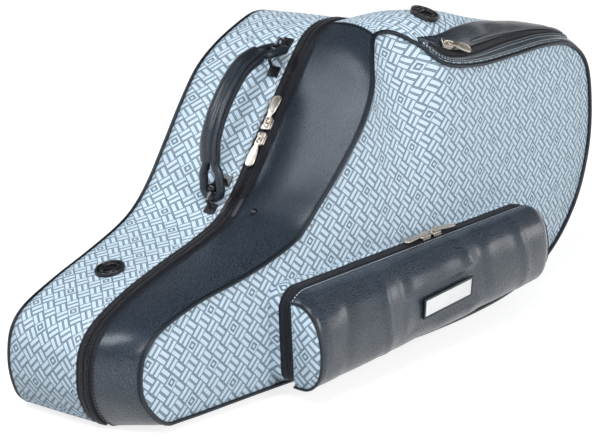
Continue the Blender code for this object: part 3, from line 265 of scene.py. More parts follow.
def face_y(x):
    lean = np.interp((x - ORIGIN.x) / CASE_LENGTH, *FACE_LEAN_SHARES.T)
    return ORIGIN.y - BASE_DEPTH - ZIP_WIDTH - lean * LID_DEPTH


def face_grid(edge, shares):
    """Rings from the front panel's edge towards its middle line, easing into the leaning face."""
    low, high = edge[:, 0].min(), edge[:, 0].max()
    first, last = SPINE_SHARES[[0, -1], 0]
    x_share = first + (edge[:, 0] - low) / (high - low) * (last - first)
    z_share = np.interp(x_share, *SPINE_SHARES.T)
    middle = np.stack([ORIGIN.x + x_share * CASE_LENGTH, np.zeros(len(edge)), z_share * CASE_HEIGHT], -1)
    rings = []
    for share in shares:
        ring = edge + (middle - edge) * share
        left_over = (edge[:, 1] - face_y(edge[:, 0])) * (1 - share) ** 2
        ring[:, 1] = face_y(ring[:, 0]) + left_over - FACE_PUFF * sin(min(share / 0.7, 1) * pi / 2)
        rings.append(ring)
    return np.array(rings)


def units(vectors):
    """The same directions, each of length one."""
    return vectors / np.maximum(np.linalg.norm(vectors, axis=-1, keepdims=True), 1e-12)


def normals_of(grid):
    """The outward unit normals of a grid whose columns follow the outline and rows go forward."""
    return units(np.cross(np.gradient(grid, axis=0), np.gradient(grid, axis=1)))


def looped(grid):
    """A grid whose rows end where they start."""
    return np.concatenate([grid, grid[:, :1]], 1)


def repeated(vector, run):
    return np.tile(np.array(vector, float), (len(run), 1))


def spun(vectors, matrix):
    return vectors @ np.array(matrix.to_3x3()).T


def moved(points, matrix):
    return spun(points, matrix) + np.array(matrix.translation)


def lengths(points):
    """The distance along a run of points, from its start to each of them."""
    steps = np.linalg.norm(np.diff(points, axis=0), axis=1)
    return np.concatenate([[0], np.cumsum(steps)])


def evenly(points, pitch):
    """Places at an even pitch along a run of points, as (index before, share to the next)."""
    run = lengths(points)
    marks = np.arange(pitch / 2, run[-1], pitch)
    index = np.clip(np.searchsorted(run, marks) - 1, 0, len(points) - 2)
    return index, (marks - run[index]) / np.maximum(run[index + 1] - run[index], 1e-12)


def picked(values, index, share):
    return values[index] + (values[index + 1] - values[index]) * share[:, None]


# Making pieces


def placed(name, data):
    made = bpy.data.objects.new(name, data)
    bpy.context.scene.collection.objects.link(made)
    return made


def piece(name, data, material, body, replaces=()):
    """One shown piece with its material, on its body; the solids it stands for are hidden."""
    made = placed(name, data)
    data.materials.append(material)
    if body:
        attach(made, body)
    if replaces:
        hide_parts(*replaces)
    return made


def mesh_of(name, points, faces):
    mesh = bpy.data.meshes.new(name)
    mesh.from_pydata(points.reshape(-1, 3).tolist(), [], faces)
    mesh.shade_smooth()
    return mesh


def grid_mesh(name, grid, uv=None, closed=False):
    """A quad mesh over a grid, with a metric layout of its own for woven patterns."""
    rows, columns = grid.shape[:2]
    if uv is None:
        along = lengths(grid[rows // 2])
        across = lengths(grid[:, columns // 2])
        uv = np.stack(np.broadcast_arrays(along[None, :], across[:, None]), -1)
    last = columns if closed else columns - 1
    r, c = np.meshgrid(np.arange(rows - 1), np.arange(last), indexing="ij")
    d = (c + 1) % columns
    faces = np.stack([r * columns + c, (r + 1) * columns + c, (r + 1) * columns + d, r * columns + d], -1)
    faces = faces.reshape(-1, 4)
    mesh = mesh_of(name, grid, faces.tolist())
    layer = mesh.uv_layers.new(name="weave")
    layer.data.foreach_set("uv", uv.reshape(-1, 2)[faces.reshape(-1)].astype(np.float32).ravel())
    return mesh


def walled(made, thickness):
    """Gives a sheet of cloth or leather its thickness, inwards."""
    wall = made.modifiers.new("Wall", "SOLIDIFY")
    wall.thickness = thickness
    wall.offset = -1
    return made


def sheet(name, grid, material, body, replaces=(), wall=COVER_WALL):
    """A piece from a grid of points, with its wall."""
    made = piece(name, grid_mesh(name, grid), material, body, replaces)
    if wall:
        walled(made, wall)
    return made


def evaluated_mesh(made):
    bpy.context.view_layer.update()
    return bpy.data.meshes.new_from_object(made.evaluated_get(bpy.context.evaluated_depsgraph_get()))


def apply_modifiers(made):
    mesh = evaluated_mesh(made)
    made.modifiers.clear()
    made.data = mesh


def finished(working, mesh, matrix=None, sharp=None):
    """A working mesh written out, set in place, and smooth but for its edges over an angle."""
    if matrix is not None:
        bmesh.ops.transform(working, matrix=matrix, verts=working.verts)
    working.to_mesh(mesh)
    working.free()
    mesh.shade_smooth()
    if sharp:
        mesh.set_sharp_from_angle(angle=radians(sharp))
    return mesh


def welded(working, mesh, matrix, sharp):
    bmesh.ops.remove_doubles(working, verts=working.verts, dist=CLEARANCE / 10)
    bmesh.ops.recalc_face_normals(working, faces=working.faces)
    return finished(working, mesh, matrix, sharp)


def lay_weave(working, layout):
    """Gives a working mesh its metric cloth layout, from the place of each corner."""
    layer = working.loops.layers.uv.new("weave")
    for face in working.faces:
        for loop in face.loops:
            loop[layer].uv = layout(loop.vert.co)


def soft_noise(points, scale, seed):
    """One slow random value for each point, the same each run."""
    shift = Vector((seed * 17.3, seed * 5.1, seed * 9.7))
    flat = points.reshape(-1, 3)
    values = [noise.noise(Vector(p) * scale + shift) for p in flat]
    return np.array(values).reshape(points.shape[:-1])


def add_spline(curve, points, closed):
    spline = curve.splines.new("POLY")
    spline.points.add(len(points) - 1)
    for target, p in zip(spline.points, points):
        target.co = (*p, 1.0)
    spline.use_cyclic_u = closed
    return spline


def cord_curve(name, points, radius, material, body, replaces=(), closed=False, radii=None):
    """A round cord along a run of points."""
    curve = bpy.data.curves.new(name, "CURVE")
    curve.dimensions = "3D"
    curve.bevel_depth = radius
    curve.bevel_resolution = 4
    curve.use_fill_caps = not closed
    spline = add_spline(curve, points, closed)
    spline.use_smooth = True
    for target, share in zip(spline.points, [] if radii is None else radii):
        target.radius = share
    return piece(name, curve, material, body, replaces)


def unit_of(working):
    working.verts.index_update()
    points = np.array([v.co for v in working.verts])
    faces = [[v.index for v in face.verts] for face in working.faces]
    working.free()
    return points, faces


def rounded_block(length, width, height, rounding):
    """A block with soft edges that stands on its own Z = 0."""
    working = bmesh.new()
    bmesh.ops.create_cube(working, size=1.0)
    for v in working.verts:
        v.co = Vector((v.co.x * length, v.co.y * width, (v.co.z + 0.5) * height))
    bmesh.ops.bevel(working, geom=working.edges, offset=rounding, segments=2, affect="EDGES", profile=0.6)
    return unit_of(working)


def grain(length, radius):
    """A small spindle along its own X, like one stitch."""
    working = bmesh.new()
    bmesh.ops.create_uvsphere(working, u_segments=6, v_segments=5, radius=1.0)
    turn = Matrix.Rotation(pi / 2, 3, "Y")
    for v in working.verts:
        p = turn @ v.co
        v.co = Vector((p.x * length / 2, p.y * radius, p.z * radius))
    return unit_of(working)


def copies(name, unit, places, along, up, material, body, replaces=()):
    """One mesh of copies of a small unit, each set at a place with its X along and its Z up."""
    along = units(along)
    side = units(np.cross(up, along))
    axes = np.stack([along, side, np.cross(along, side)], 1)
    points, faces = unit
    corners = places[:, None] + np.einsum("pk,nkd->npd", points, axes)
    many = [[i + k * len(points) for i in face] for k in range(len(places)) for face in faces]
    return piece(name, mesh_of(name, corners, many), material, body, replaces)


def stitches(name, run, normals, material, body, pitch=0.0042, length=0.0030, radius=0.00042, sunk=0.0001):
    """A row of stitches along a run of points on a surface."""
    index, share = evenly(run, pitch)
    up = picked(normals, index, share)
    places = picked(run, index, share) - up * sunk
    return copies(name, grain(length, radius), places, run[index + 1] - run[index], up, material, body)


def zip_teeth(name, run, normals, into, body, replaces=(), pitch=0.0021, width=0.0042):
    """One side of a coil zip: teeth along a run of points, reaching sideways into the tape."""
    index, share = evenly(run, pitch)
    up = picked(normals, index, share)
    towards = units(picked(into, index, share))
    places = picked(run, index, share) + towards * (width / 2) - up * 0.0004
    unit = rounded_block(width, pitch * 0.62, 0.0017, 0.0005)
    return copies(name, unit, places, towards, up, TEETH, body, replaces)


def turned(name, profile, sides, matrix, material, body, replaces):
    """A solid of revolution about its own Z, from (radius, height) points, bottom to top."""
    working = bmesh.new()
    corners = [working.verts.new((radius, 0, height)) for radius, height in profile]
    lines = [working.edges.new(pair) for pair in zip(corners, corners[1:])]
    bmesh.ops.spin(working, geom=corners + lines, axis=(0, 0, 1), cent=(0, 0, 0), angle=2 * pi,
                   steps=sides, use_merge=True)
    return piece(name, welded(working, bpy.data.meshes.new(name), matrix, 50), material, body, replaces)


def plate(name, outline, thickness, rounding, matrix, material, body, replaces=(), holes=()):
    """A flat plate with soft edges, centred on its own XY plane, from an outline and its holes."""
    curve = bpy.data.curves.new(name, "CURVE")
    curve.dimensions = "2D"
    curve.fill_mode = "BOTH"
    curve.extrude = thickness / 2 - rounding
    curve.bevel_depth = rounding
    curve.bevel_resolution = 2
    curve.offset = -rounding
    for loop in (outline, *holes):
        add_spline(curve, [(x, y, 0) for x, y in loop], True)
    shell = placed(name, curve)
    mesh = evaluated_mesh(shell)
    bpy.data.objects.remove(shell, do_unlink=True)
    bpy.data.curves.remove(curve)
    working = bmesh.new()
    working.from_mesh(mesh)
    return piece(name, welded(working, mesh, matrix, 40), material, body, replaces)


def arc(x, y, radius, start, end, steps=8):
    turns = [start + (end - start) * i / steps for i in range(steps + 1)]
    return [(x + radius * cos(turn), y + radius * sin(turn)) for turn in turns]


def round_box(length, height, radius, steps=6):
    """A box outline with round corners, centred on the origin."""
    x, y = length / 2 - radius, height / 2 - radius
    outline = []
    for i, (a, b) in enumerate(((x, y), (-x, y), (-x, -y), (x, -y))):
        outline += arc(a, b, radius, i * pi / 2, (i + 1) * pi / 2, steps)
    return outline


def frame_of(place, x, y):
    """A placing matrix from a point and two directions square to each other."""
    x, y = Vector(x).normalized(), Vector(y).normalized()
    matrix = Matrix((x, y, x.cross(y))).transposed().to_4x4()
    matrix.translation = Vector(place)
    return matrix


# Materials


def set_inputs(node, values):
    """Gives a node's inputs their numbers, colours, wires or sockets."""
    for key, value in values.items():
        if isinstance(value, Wire):
            value = value.socket
        if isinstance(value, bpy.types.NodeSocket):
            node.id_data.links.new(value, node.inputs[key])
        elif value is not None:
            node.inputs[key].default_value = (*value, 1.0) if isinstance(value, tuple) else value


def math_step(operation):
    """A method that does one sum on a number, with another one if the sum needs it."""
    def step(self, other=None):
        node = self.tree.nodes.new("ShaderNodeMath")
        node.operation = operation
        set_inputs(node, {0: self, 1: other})
        return Wire(node.outputs[0])
    return step


class Wire:
    """A number inside a material, so that its nodes read as plain arithmetic."""

    def __init__(self, socket):
        self.socket = socket
        self.tree = socket.id_data

    __add__ = math_step("ADD")
    __sub__ = math_step("SUBTRACT")
    __mul__ = math_step("MULTIPLY")
    fraction = math_step("FRACT")
    whole = math_step("FLOOR")
    size = math_step("ABSOLUTE")
    repeat = math_step("FLOORED_MODULO")
    or_more = math_step("MAXIMUM")

    def choose(self, here, there):
        """The first number where this one is 1, and the second where it is 0."""
        return (there * (self * -1.0 + 1.0)) + (here * self)

    def below(self, limit, softness):
        """1 below the limit and 0 above it, with a soft step between."""
        node = self.tree.nodes.new("ShaderNodeMapRange")
        node.interpolation_type = "SMOOTHSTEP"
        set_inputs(node, {"Value": self, "From Min": limit - softness, "From Max": limit + softness,
                          "To Min": 1.0, "To Max": 0.0})
        return Wire(node.outputs["Result"])

    def colour(self, low, high):
        """A colour between two others, at this share."""
        node = self.tree.nodes.new("ShaderNodeMix")
        node.data_type = "RGBA"
        set_inputs(node, {"Factor": self, 6: low, 7: high})
        return Wire(node.outputs[2])


def new_material(name, roughness, specular=0.5, metallic=0.0):
    """A material, its shader and the socket that gives places on the object."""
    material = bpy.data.materials.new(name)
    material.use_nodes = True
    shader = material.node_tree.nodes["Principled BSDF"]
    set_inputs(shader, {"Roughness": roughness, "Metallic": metallic, "Specular IOR Level": specular})
    return material, shader, material.node_tree.nodes.new("ShaderNodeTexCoord").outputs["Object"]


def noise_wire(place, scale, detail=2.0, roughness=0.5):
    node = place.id_data.nodes.new("ShaderNodeTexNoise")
    set_inputs(node, {"Vector": place, "Scale": scale, "Detail": detail, "Roughness": roughness})
    return Wire(node.outputs["Fac"])


def cell_wire(place, scale):
    node = place.id_data.nodes.new("ShaderNodeTexVoronoi")
    set_inputs(node, {"Vector": place, "Scale": scale})
    return Wire(node.outputs["Distance"])


def parts_of(place):
    """The numbers along X, Y and Z of a place."""
    parts = place.id_data.nodes.new("ShaderNodeSeparateXYZ")
    set_inputs(parts, {0: place})
    return [Wire(output) for output in parts.outputs]


def add_bump(shader, height, strength, distance):
    node = shader.id_data.nodes.new("ShaderNodeBump")
    set_inputs(node, {"Strength": strength, "Distance": distance, "Height": height})
    set_inputs(shader, {"Normal": node.outputs["Normal"]})


def weave_place(tree):
    """The two metric coordinates of a cloth's own layout."""
    layout = tree.nodes.new("ShaderNodeUVMap")
    layout.uv_map = "weave"
    return parts_of(layout.outputs["UV"])[:2]


WEAVE_CELL = 0.0135
BAR_SHARE = 0.31
SQUARE_EVERY = 3.0


def make_cloth(name):
    """Pale bars in a slanting basket weave with a small square in every third cell."""
    material, shader, place = new_material(name, 0.62, 0.35)
    u, v = weave_place(material.node_tree)
    slant = cos(pi / 4) / WEAVE_CELL
    a = (u * slant) + (v * slant)
    b = (v * slant) - (u * slant)
    i, j = a.whole(), b.whole()
    across, along = a.fraction() - 0.5, b.fraction() - 0.5
    odd = (i + j).repeat(2.0)
    side = odd.choose(along, across)
    length = odd.choose(across, along)
    near_bar = (((side + 0.5) * 2.0).fraction() - 0.5).size()
    both_ends = length.size().below(0.42, 0.02)
    joined = both_ends.or_more(length.below(0.60, 0.02) * (length * -1.0).below(0.42, 0.02))
    bar = near_bar.below(BAR_SHARE, 0.03) * joined
    rim = near_bar.below(BAR_SHARE + 0.10, 0.02) * length.size().below(0.485, 0.02).or_more(joined)
    reach = across.size().or_more(along.size())
    square = reach.below(0.42, 0.02) - reach.below(0.27, 0.02) + reach.below(0.12, 0.02)
    square_rim = reach.below(0.46, 0.02) - reach.below(0.21, 0.02) + reach.below(0.17, 0.02)
    here = (i.repeat(SQUARE_EVERY) + (j.repeat(SQUARE_EVERY) * SQUARE_EVERY)).below(0.5, 0.1)
    bar = here.choose(square, bar)
    rim = here.choose(square_rim, rim)
    threads = noise_wire(place, 900.0, 3.0, 0.7)
    ground = noise_wire(place, 22.0, 2.0).colour((0.200, 0.275, 0.330), (0.280, 0.360, 0.415))
    dark = ((rim - bar).or_more(0.0) * 0.9).colour(ground, (0.060, 0.095, 0.130))
    pale = threads.colour((0.430, 0.560, 0.680), (0.690, 0.810, 0.920))
    set_inputs(shader, {"Base Color": bar.colour(dark, pale), "Roughness": threads * 0.25 + 0.5,
                        "Sheen Weight": 0.15, "Sheen Roughness": 0.4})
    add_bump(shader, bar * 0.6 + threads * 0.5, 0.5, 0.00035)
    return material


def make_leather(name, dark, light, grain_scale, roughness, depth, coat=0.5):
    """Pebbled leather with painted highlights on its pebbles' crests, under a thin, uneven gloss."""
    material, shader, place = new_material(name, roughness)
    pebbles = cell_wire(place, grain_scale)
    wrinkles = noise_wire(place, grain_scale * 0.18, 4.0, 0.6)
    # The pebbles' crests are lightened in the base colour as painted highlights; the light colour is both
    # that painted highlight and a pale random mottle.
    painted_crest_highlights = (pebbles * -1.0 + 0.62).or_more(0.0)
    set_inputs(shader, {
        "Base Color": (painted_crest_highlights * 1.3 + noise_wire(place, 14.0, 3.0) * 0.30).colour(dark, light),
        "Roughness": pebbles * 0.22 + wrinkles * 0.16 + (roughness - 0.12),
        "Specular Tint": (0.72, 0.86, 1.0), "Coat Weight": coat, "Coat Roughness": 0.26,
    })
    add_bump(shader, pebbles * -1.0 + wrinkles * 0.2, 1.0, depth)
    return material


def make_tape(name):
    """Black zip tape with fine ribs across it."""
    material, shader, place = new_material(name, 0.70, 0.3)
    u, v = weave_place(material.node_tree)
    ribs = ((u * (1 / 0.0009)).fraction() - 0.5).size() + ((v * (1 / 0.0013)).fraction() - 0.5).size()
    tone = ribs * 0.5 + noise_wire(place, 1500.0, 2.0) * 0.4
    set_inputs(shader, {"Base Color": tone.colour((0.006, 0.007, 0.010), (0.022, 0.024, 0.032))})
    add_bump(shader, ribs, 0.5, 0.0002)
    return material


def make_mottled(name, low, high, roughness, specular, scale, bump, uneven=0.0, detail=3.0):
    """Two near tones with fine marks, which also change the gloss by the uneven share."""
    material, shader, place = new_material(name, roughness, specular)
    marks = noise_wire(place, scale, detail)
    set_inputs(shader, {"Base Color": marks.colour(low, high)})
    if uneven:
        set_inputs(shader, {"Roughness": marks * uneven + (roughness - uneven / 2)})
    add_bump(shader, marks, bump, 0.0001)
    return material


def make_metal(name, dull, bright, roughness):
    """Die-cast metal with a hammered, lightly scratched skin."""
    material, shader, place = new_material(name, roughness, metallic=1.0)
    dimples = noise_wire(place, 700.0, 2.0, 0.6)
    set_inputs(shader, {"Base Color": dimples.colour(dull, bright),
                        "Roughness": noise_wire(place, 2600.0, 1.0) * 0.25 + (roughness - 0.1)})
    add_bump(shader, dimples, 0.5, 0.00018)
    return material


def make_plush(name):
    material, shader, place = new_material(name, 0.95, 0.2)
    pile = noise_wire(place, 800.0, 3.0, 0.7)
    tone = pile * 0.5 + noise_wire(place, 16.0, 3.0) * 0.5
    set_inputs(shader, {"Base Color": tone.colour((0.008, 0.008, 0.012), (0.050, 0.050, 0.062)),
                        "Sheen Weight": 0.5, "Sheen Roughness": 0.45, "Sheen Tint": (0.6, 0.62, 0.7)})
    add_bump(shader, pile, 0.8, 0.0006)
    return material


def make_foam(name):
    material, shader, place = new_material(name, 0.9, 0.2)
    cells = cell_wire(place, 900.0)
    set_inputs(shader, {"Base Color": cells.colour((0.035, 0.036, 0.040), (0.10, 0.10, 0.11))})
    add_bump(shader, cells, 0.6, 0.0003)
    return material


CLOTH = make_cloth("woven_cloth")
# Each leather's second colour is its painted pebble-crest highlight, and also its pale random mottle.
LEATHER = make_leather("pebbled_leather", (0.001, 0.002, 0.005), (0.030, 0.050, 0.082), 560.0, 0.32,
                       0.0015, 0.65)
GRIP_LEATHER = make_leather("grip_leather", (0.002, 0.003, 0.006), (0.026, 0.036, 0.052), 700.0, 0.34,
                            0.0007)
PIPING_LEATHER = make_leather("piping_leather", (0.002, 0.003, 0.005), (0.008, 0.010, 0.016), 900.0, 0.40,
                              0.0003, 0.1)
TAPE = make_tape("zip_tape")
METAL = make_metal("warm_silver", (0.50, 0.45, 0.40), (0.78, 0.72, 0.64), 0.36)
TEETH, BLACK_METAL, BLACK_GLOSS = (
    make_mottled(name, low, high, roughness, 0.45, 300.0, 0.2, 0.2)
    for name, low, high, roughness in (
        ("zip_teeth", (0.010, 0.010, 0.014), (0.019, 0.019, 0.025), 0.32),
        ("black_metal", (0.008, 0.008, 0.010), (0.016, 0.016, 0.019), 0.28),
        ("black_gloss", (0.006, 0.006, 0.008), (0.013, 0.013, 0.016), 0.14),
    )
)
PALE_THREAD, DARK_THREAD = (
    make_mottled(name, low, high, 0.6, 0.35, 2500.0, 0.5, detail=1.0)
    for name, low, high in (
        ("pale_thread", (0.42, 0.50, 0.56), (0.72, 0.80, 0.86)),
        ("dark_thread", (0.004, 0.005, 0.008), (0.030, 0.034, 0.045)),
    )
)
PLUSH = make_plush("black_plush")
FOAM = make_foam("foam_edge")
PLATE = make_mottled("white_plate", (0.80, 0.81, 0.83), (0.93, 0.93, 0.94), 0.38, 0.5, 120.0, 0.15, 0.2)


# The base: its cloth, back panel, piping and half of the zip


COLUMNS_PER_STATION = 9


def columns(first, last):
    return np.linspace(first, last, int(round((last - first) * COLUMNS_PER_STATION)) + 1)


def build_base():
    """Cloth round the side, the back panel and the cord between them."""
    rings = base_stations()
    t = columns(BOTTOM_MIDDLE, BOTTOM_MIDDLE + STATIONS)
    grid = patch(rings, t, np.linspace(0, 1, 9))
    crown = np.sin(np.linspace(0, pi, 9))[:, None, None] * 0.0008
    upright = np.clip(grid[..., 2:] / 0.01, 0, 1)
    normals = normals_of(grid)
    grid = grid + normals * (crown + soft_noise(grid, 14.0, 1)[..., None] * 0.0006) * upright
    sheet("base_side_cloth", grid, CLOTH, "base", ["base_gusset_cover"])
    for i, inset in enumerate(STITCH_INSETS):
        row = patch(rings, t, np.array([1 - inset / BASE_DEPTH]))[0] + normals[-2] * 0.0002
        stitches(f"base_side_stitches_{i}", row, normals[-2], PALE_THREAD, "base")
    build_back_panel(rings[0])


def build_back_panel(back):
    ring = round_loop(back, columns(0, STATIONS)[:-1])
    outward = outward_of(ring)
    working = bmesh.new()
    middle = Vector((ring[:, 0].mean(), ORIGIN.y, CASE_HEIGHT * 0.36))
    rims = [[working.verts.new(p) for p in ring - outward * inset] for inset in (PANEL_INSET, RIM_WIDTH)]
    for corners in zip(rims[0], np.roll(rims[0], -1), np.roll(rims[1], -1), rims[1]):
        working.faces.new(corners)
    working.faces.new(rims[1])
    for v in rims[0]:
        v.co.y -= SINK
    bmesh.ops.triangulate(working, faces=[f for f in working.faces if len(f.verts) > 4])
    lay_weave(working, lambda p: (p.x - middle.x, p.z - middle.z))
    working.normal_update()
    if sum(face.normal.y * face.calc_area() for face in working.faces) < 0:
        bmesh.ops.reverse_faces(working, faces=working.faces)
    mesh = finished(working, bpy.data.meshes.new("back_panel_cloth"))
    walled(piece("back_panel_cloth", mesh, CLOTH, "base", ["back_cover"]), COVER_WALL)
    reach = PIPING_RADIUS + CLEARANCE
    cord = ring - outward * reach
    cord[:, 1] += reach
    cord_curve("back_cord", cord, PIPING_RADIUS, PIPING_LEATHER, "base", ["back_piping"], closed=True)
    welt = np.array([ring - outward * reach - (0, CLEARANCE, 0), ring + outward * 0.0004 - (0, 0.0008, 0)])
    sheet("back_cord_flange", looped(welt)[::-1], PIPING_LEATHER, "base", wall=CLEARANCE * 2)


def build_zips():
    """Tape and teeth from the edges of the two coverings to the parting line."""
    for side, outer_y, sign in (
        ("base", -BASE_DEPTH - 0.001 + CLEARANCE, 1),
        ("lid", -BASE_DEPTH - ZIP_WIDTH + 0.001 - CLEARANCE, -1),
    ):
        inner = seam(PARTING + sign * CLEARANCE)
        rings = [seam(outer_y), inner][::sign]
        grid = patch(rings, columns(*ZIP_STATIONS), np.linspace(0, 1, 5))
        sunk = np.clip(grid[..., 2:] / 0.004, 0, 1) * 0.0009
        sheet(f"zip_tape_{side}_fine", grid - normals_of(grid) * sunk, TAPE, side, ["zip_tape_" + side],
              wall=TAPE_WALL)
        run_t = columns(ZIP_STATIONS[0] + 0.6, ZIP_STATIONS[1] - 0.5)
        run = round_loop(inner, run_t)
        run_normals = normals_of(patch(rings, run_t, np.array([0.0, 0.5, 1.0])))[1]
        into = repeated((0, sign, 0), run)
        zip_teeth(f"zip_teeth_{side}_fine", run, run_normals, into, side, ["zip_teeth_" + side])
        ridge = run + into * 0.0048 + run_normals * 0.0001
        cord_curve("zip_cord_" + side, ridge, 0.0006, DARK_THREAD, side)


def build_hinge():
    """The strip of leather that joins the two shells along the bottom."""
    near, far = -BASE_DEPTH - CLEARANCE, -BASE_DEPTH - ZIP_WIDTH + CLEARANCE
    rings = [seam(y) for y in (near, far)]
    grid = patch(rings, columns(*HINGE_STATIONS), np.linspace(0, 1, 13))
    strip = sheet("hinge_strip", grid, LEATHER, None, ["hinge_leaf_base", "hinge_leaf_lid"])
    apply_modifiers(strip)
    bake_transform(strip)


# The lid's side, front panel and cord


def build_lid():
    rings = side_stations()
    for name, stations, material, node in (
        ("leather_band_fine", LEATHER_STATIONS, LEATHER, "leather_band"),
        ("bell_side_cloth", BELL_CLOTH_STATIONS, CLOTH, "bell_gusset_cover"),
    ):
        grid = patch(rings, columns(*stations), side_rows(17))
        ends = np.sin(side_rows(17) / 4 * pi)[:, None, None]
        grid = grid + normals_of(grid) * soft_noise(grid, 11.0, 3)[..., None] * ends * 0.0012
        sheet(name, grid, material, "lid", [node])
    build_lid_stitches(rings)
    build_front(rings[-1])
    return rings


def build_lid_stitches(rings):
    for i, depth in enumerate(BAND_STITCH_INSETS):
        v = depth / (LID_DEPTH * SIDE_RING_SHARES[0][0])
        grid = patch(rings, columns(0.2, LEATHER_STATIONS[1]), np.array([v, v + 0.05]))
        stitches(f"band_stitches_{i}", grid[0], normals_of(grid)[0], DARK_THREAD, "lid",
                 radius=0.0005, sunk=-0.0001)
    t = np.array([LEATHER_STATIONS[1] + 0.06])
    v = np.linspace(0.05, 3.95, 40)
    line, side = patch(rings, t, v)[:, 0], patch(rings, t + 0.05, v)[:, 0]
    up = units(np.cross(np.gradient(line, axis=0), side - line))
    stitches("band_end_stitches", line, up, PALE_THREAD, "lid", sunk=-0.0001)
    seam = patch(rings, np.array([LEATHER_STATIONS[1]]), v)[:, 0]
    cord_curve("band_end_cord", seam + up * 0.0002, 0.0012, PIPING_LEATHER, "lid")


def build_front(edge_ring):
    edge = round_loop(edge_ring, columns(0, STATIONS)[:-1])
    rings = face_grid(edge, [0.0, 0.04, 0.09, 0.15, 0.22, 0.30, 0.38, 0.46, 0.54, 0.62, 0.70, 0.78, 0.86])
    inwards = units(rings[5] - edge)
    rings[0] = edge + inwards * PANEL_INSET
    working = bmesh.new()
    rows = [[working.verts.new(p) for p in ring] for ring in rings]
    for a, b in zip(rows, rows[1:]):
        for corners in zip(a, b, b[1:] + b[:1], a[1:] + a[:1]):
            working.faces.new(corners)
    cap = working.faces.new(rows[-1][::-1])
    working.normal_update()
    bmesh.ops.triangulate(working, faces=[cap], ngon_method="BEAUTY")
    lay_weave(working, lambda p: (p.x, p.z + p.y * PANEL_SLOPE_SHARE))
    mesh = finished(working, bpy.data.meshes.new("front_panel_cloth"))
    walled(piece("front_panel_cloth", mesh, CLOTH, "lid", ["front_panel"]), COVER_WALL)
    out = units(np.cross(inwards, np.roll(edge, -1, 0) - np.roll(edge, 1, 0)))
    radius = PIPING_RADIUS * CORD_SHARE
    cord = edge + (inwards + out) * (radius + CLEARANCE)
    cord_curve("front_cord", cord, radius, PIPING_LEATHER, "lid", ["front_piping"], closed=True)
    flange = np.array([edge + out * 0.0010 - inwards * 0.0006, cord - out * 0.0008])
    sheet("front_cord_flange", looped(flange), PIPING_LEATHER, "lid", wall=CLEARANCE * 3)


# Sliders and their pulls


def build_slider(name, slide, flip, stem):
    """A slider along its zip: X along it and Z out of it, its origin on the zip."""
    x = Vector(JOINTS[slide]["axis"]).normalized()
    y = -Vector(JOINTS[flip]["axis"]).normalized()
    matrix = frame_of(JOINTS[flip]["pos_m"], x, y) @ Matrix.Translation((0, 0, -SLIDER_HINGE_HEIGHT))
    body = stem + "_slider"
    nose, tail, half = 0.0078, -0.0076, 0.0054
    outline = (
        arc(nose - half * 0.8, 0, half, -1.1, 1.1)
        + [(0.0, half * 0.80)] + arc(tail + 0.002, half - 0.002, 0.002, pi / 2, pi, 4)
        + arc(tail + 0.002, -half + 0.002, 0.002, pi, 3 * pi / 2, 4) + [(0.0, -half * 0.80)]
    )
    low, high = 0.0023, SLIDER_PLATE_HEIGHT
    lift = Matrix.Translation((0, 0, (low + high) / 2))
    plate(name + "_plate", outline, high - low, 0.0006, matrix @ lift, METAL, body, [name])
    for i, side in enumerate((-1, 1)):
        rail = Matrix.Translation((0.0, side * (half - 0.0008), 0.0012))
        plate(f"{name}_rail_{i}", round_box(0.0120, 0.0014, 0.0006, 3), 0.0022, 0.0004, matrix @ rail,
              METAL, body)
    top = high + 0.0036
    path = [(-0.0046, high - 0.0006), (-0.0046, top - 0.0012), (-0.0034, top - 0.0002), (-0.0012, top)]
    path = [(x, 0, z) for x, z in path] + [(-x, 0, z) for x, z in path[::-1]]
    bridge = moved(smoothed(path, 36), matrix)
    cord_curve(name + "_bridge", bridge, 0.00085, METAL, body)
    build_pull(name + "_pull", matrix, stem + "_pull")


def build_pull(name, matrix, body):
    """A flat pull with a slot at its hinge, a waist and a rounded, dished blade."""
    tilt = Matrix.Translation((0, 0, SLIDER_HINGE_HEIGHT)) @ Matrix.Rotation(radians(2.5), 4, "Y")
    length, wide, neck = 0.0345, 0.0057, 0.0032
    waist = [(0.0070, neck), (0.0098, neck * 0.86), (0.0140, wide * 0.78), (0.0200, wide * 0.94)]
    outline = (
        arc(0.0021, 0, neck, pi * 0.62, pi * 1.38, 6) + [(x, -y) for x, y in waist]
        + arc(length - wide, 0, wide, -pi / 2, pi / 2, 12) + waist[::-1]
    )
    hole = [(x + 0.0033, y) for x, y in round_box(0.0050, 0.0037, 0.0012, 3)]
    plate(name + "_blade", outline, 0.0015, 0.0005, matrix @ tilt, METAL, body, [name], [hole])
    rim = arc(length - wide, 0, wide * 0.86, -pi / 2, pi / 2, 12) + [
        (0.0205, wide * 0.80), (0.0150, wide * 0.62), (0.0125, 0.0), (0.0150, -wide * 0.62),
        (0.0205, -wide * 0.80),
    ]
    inner = [(0.0240 + (x - 0.0240) * 0.84, y * 0.76) for x, y in rim]
    raised = Matrix.Translation((0, 0, 0.0007))
    plate(name + "_rim", rim, 0.0008, 0.00025, matrix @ tilt @ raised, METAL, body, holes=[inner])


def build_sliders():
    for way, zip_name in (("upper", "main"), ("lower", "main"), ("right", "pocket"), ("left", "pocket")):
        name = f"{zip_name}_slider_{way}"
        build_slider(name, name + "_slide", name + "_pull_flip", f"{way}_{zip_name}")
    build_slider("upper_slider", "bell_pocket_slider_slide", "bell_pocket_pull_flip", "bell_pocket")


# Handle


def points_of(node):
    mesh = frame["nodes"][node].data
    return np.unique(np.round([v.co[:] for v in mesh.vertices], 6), axis=0)


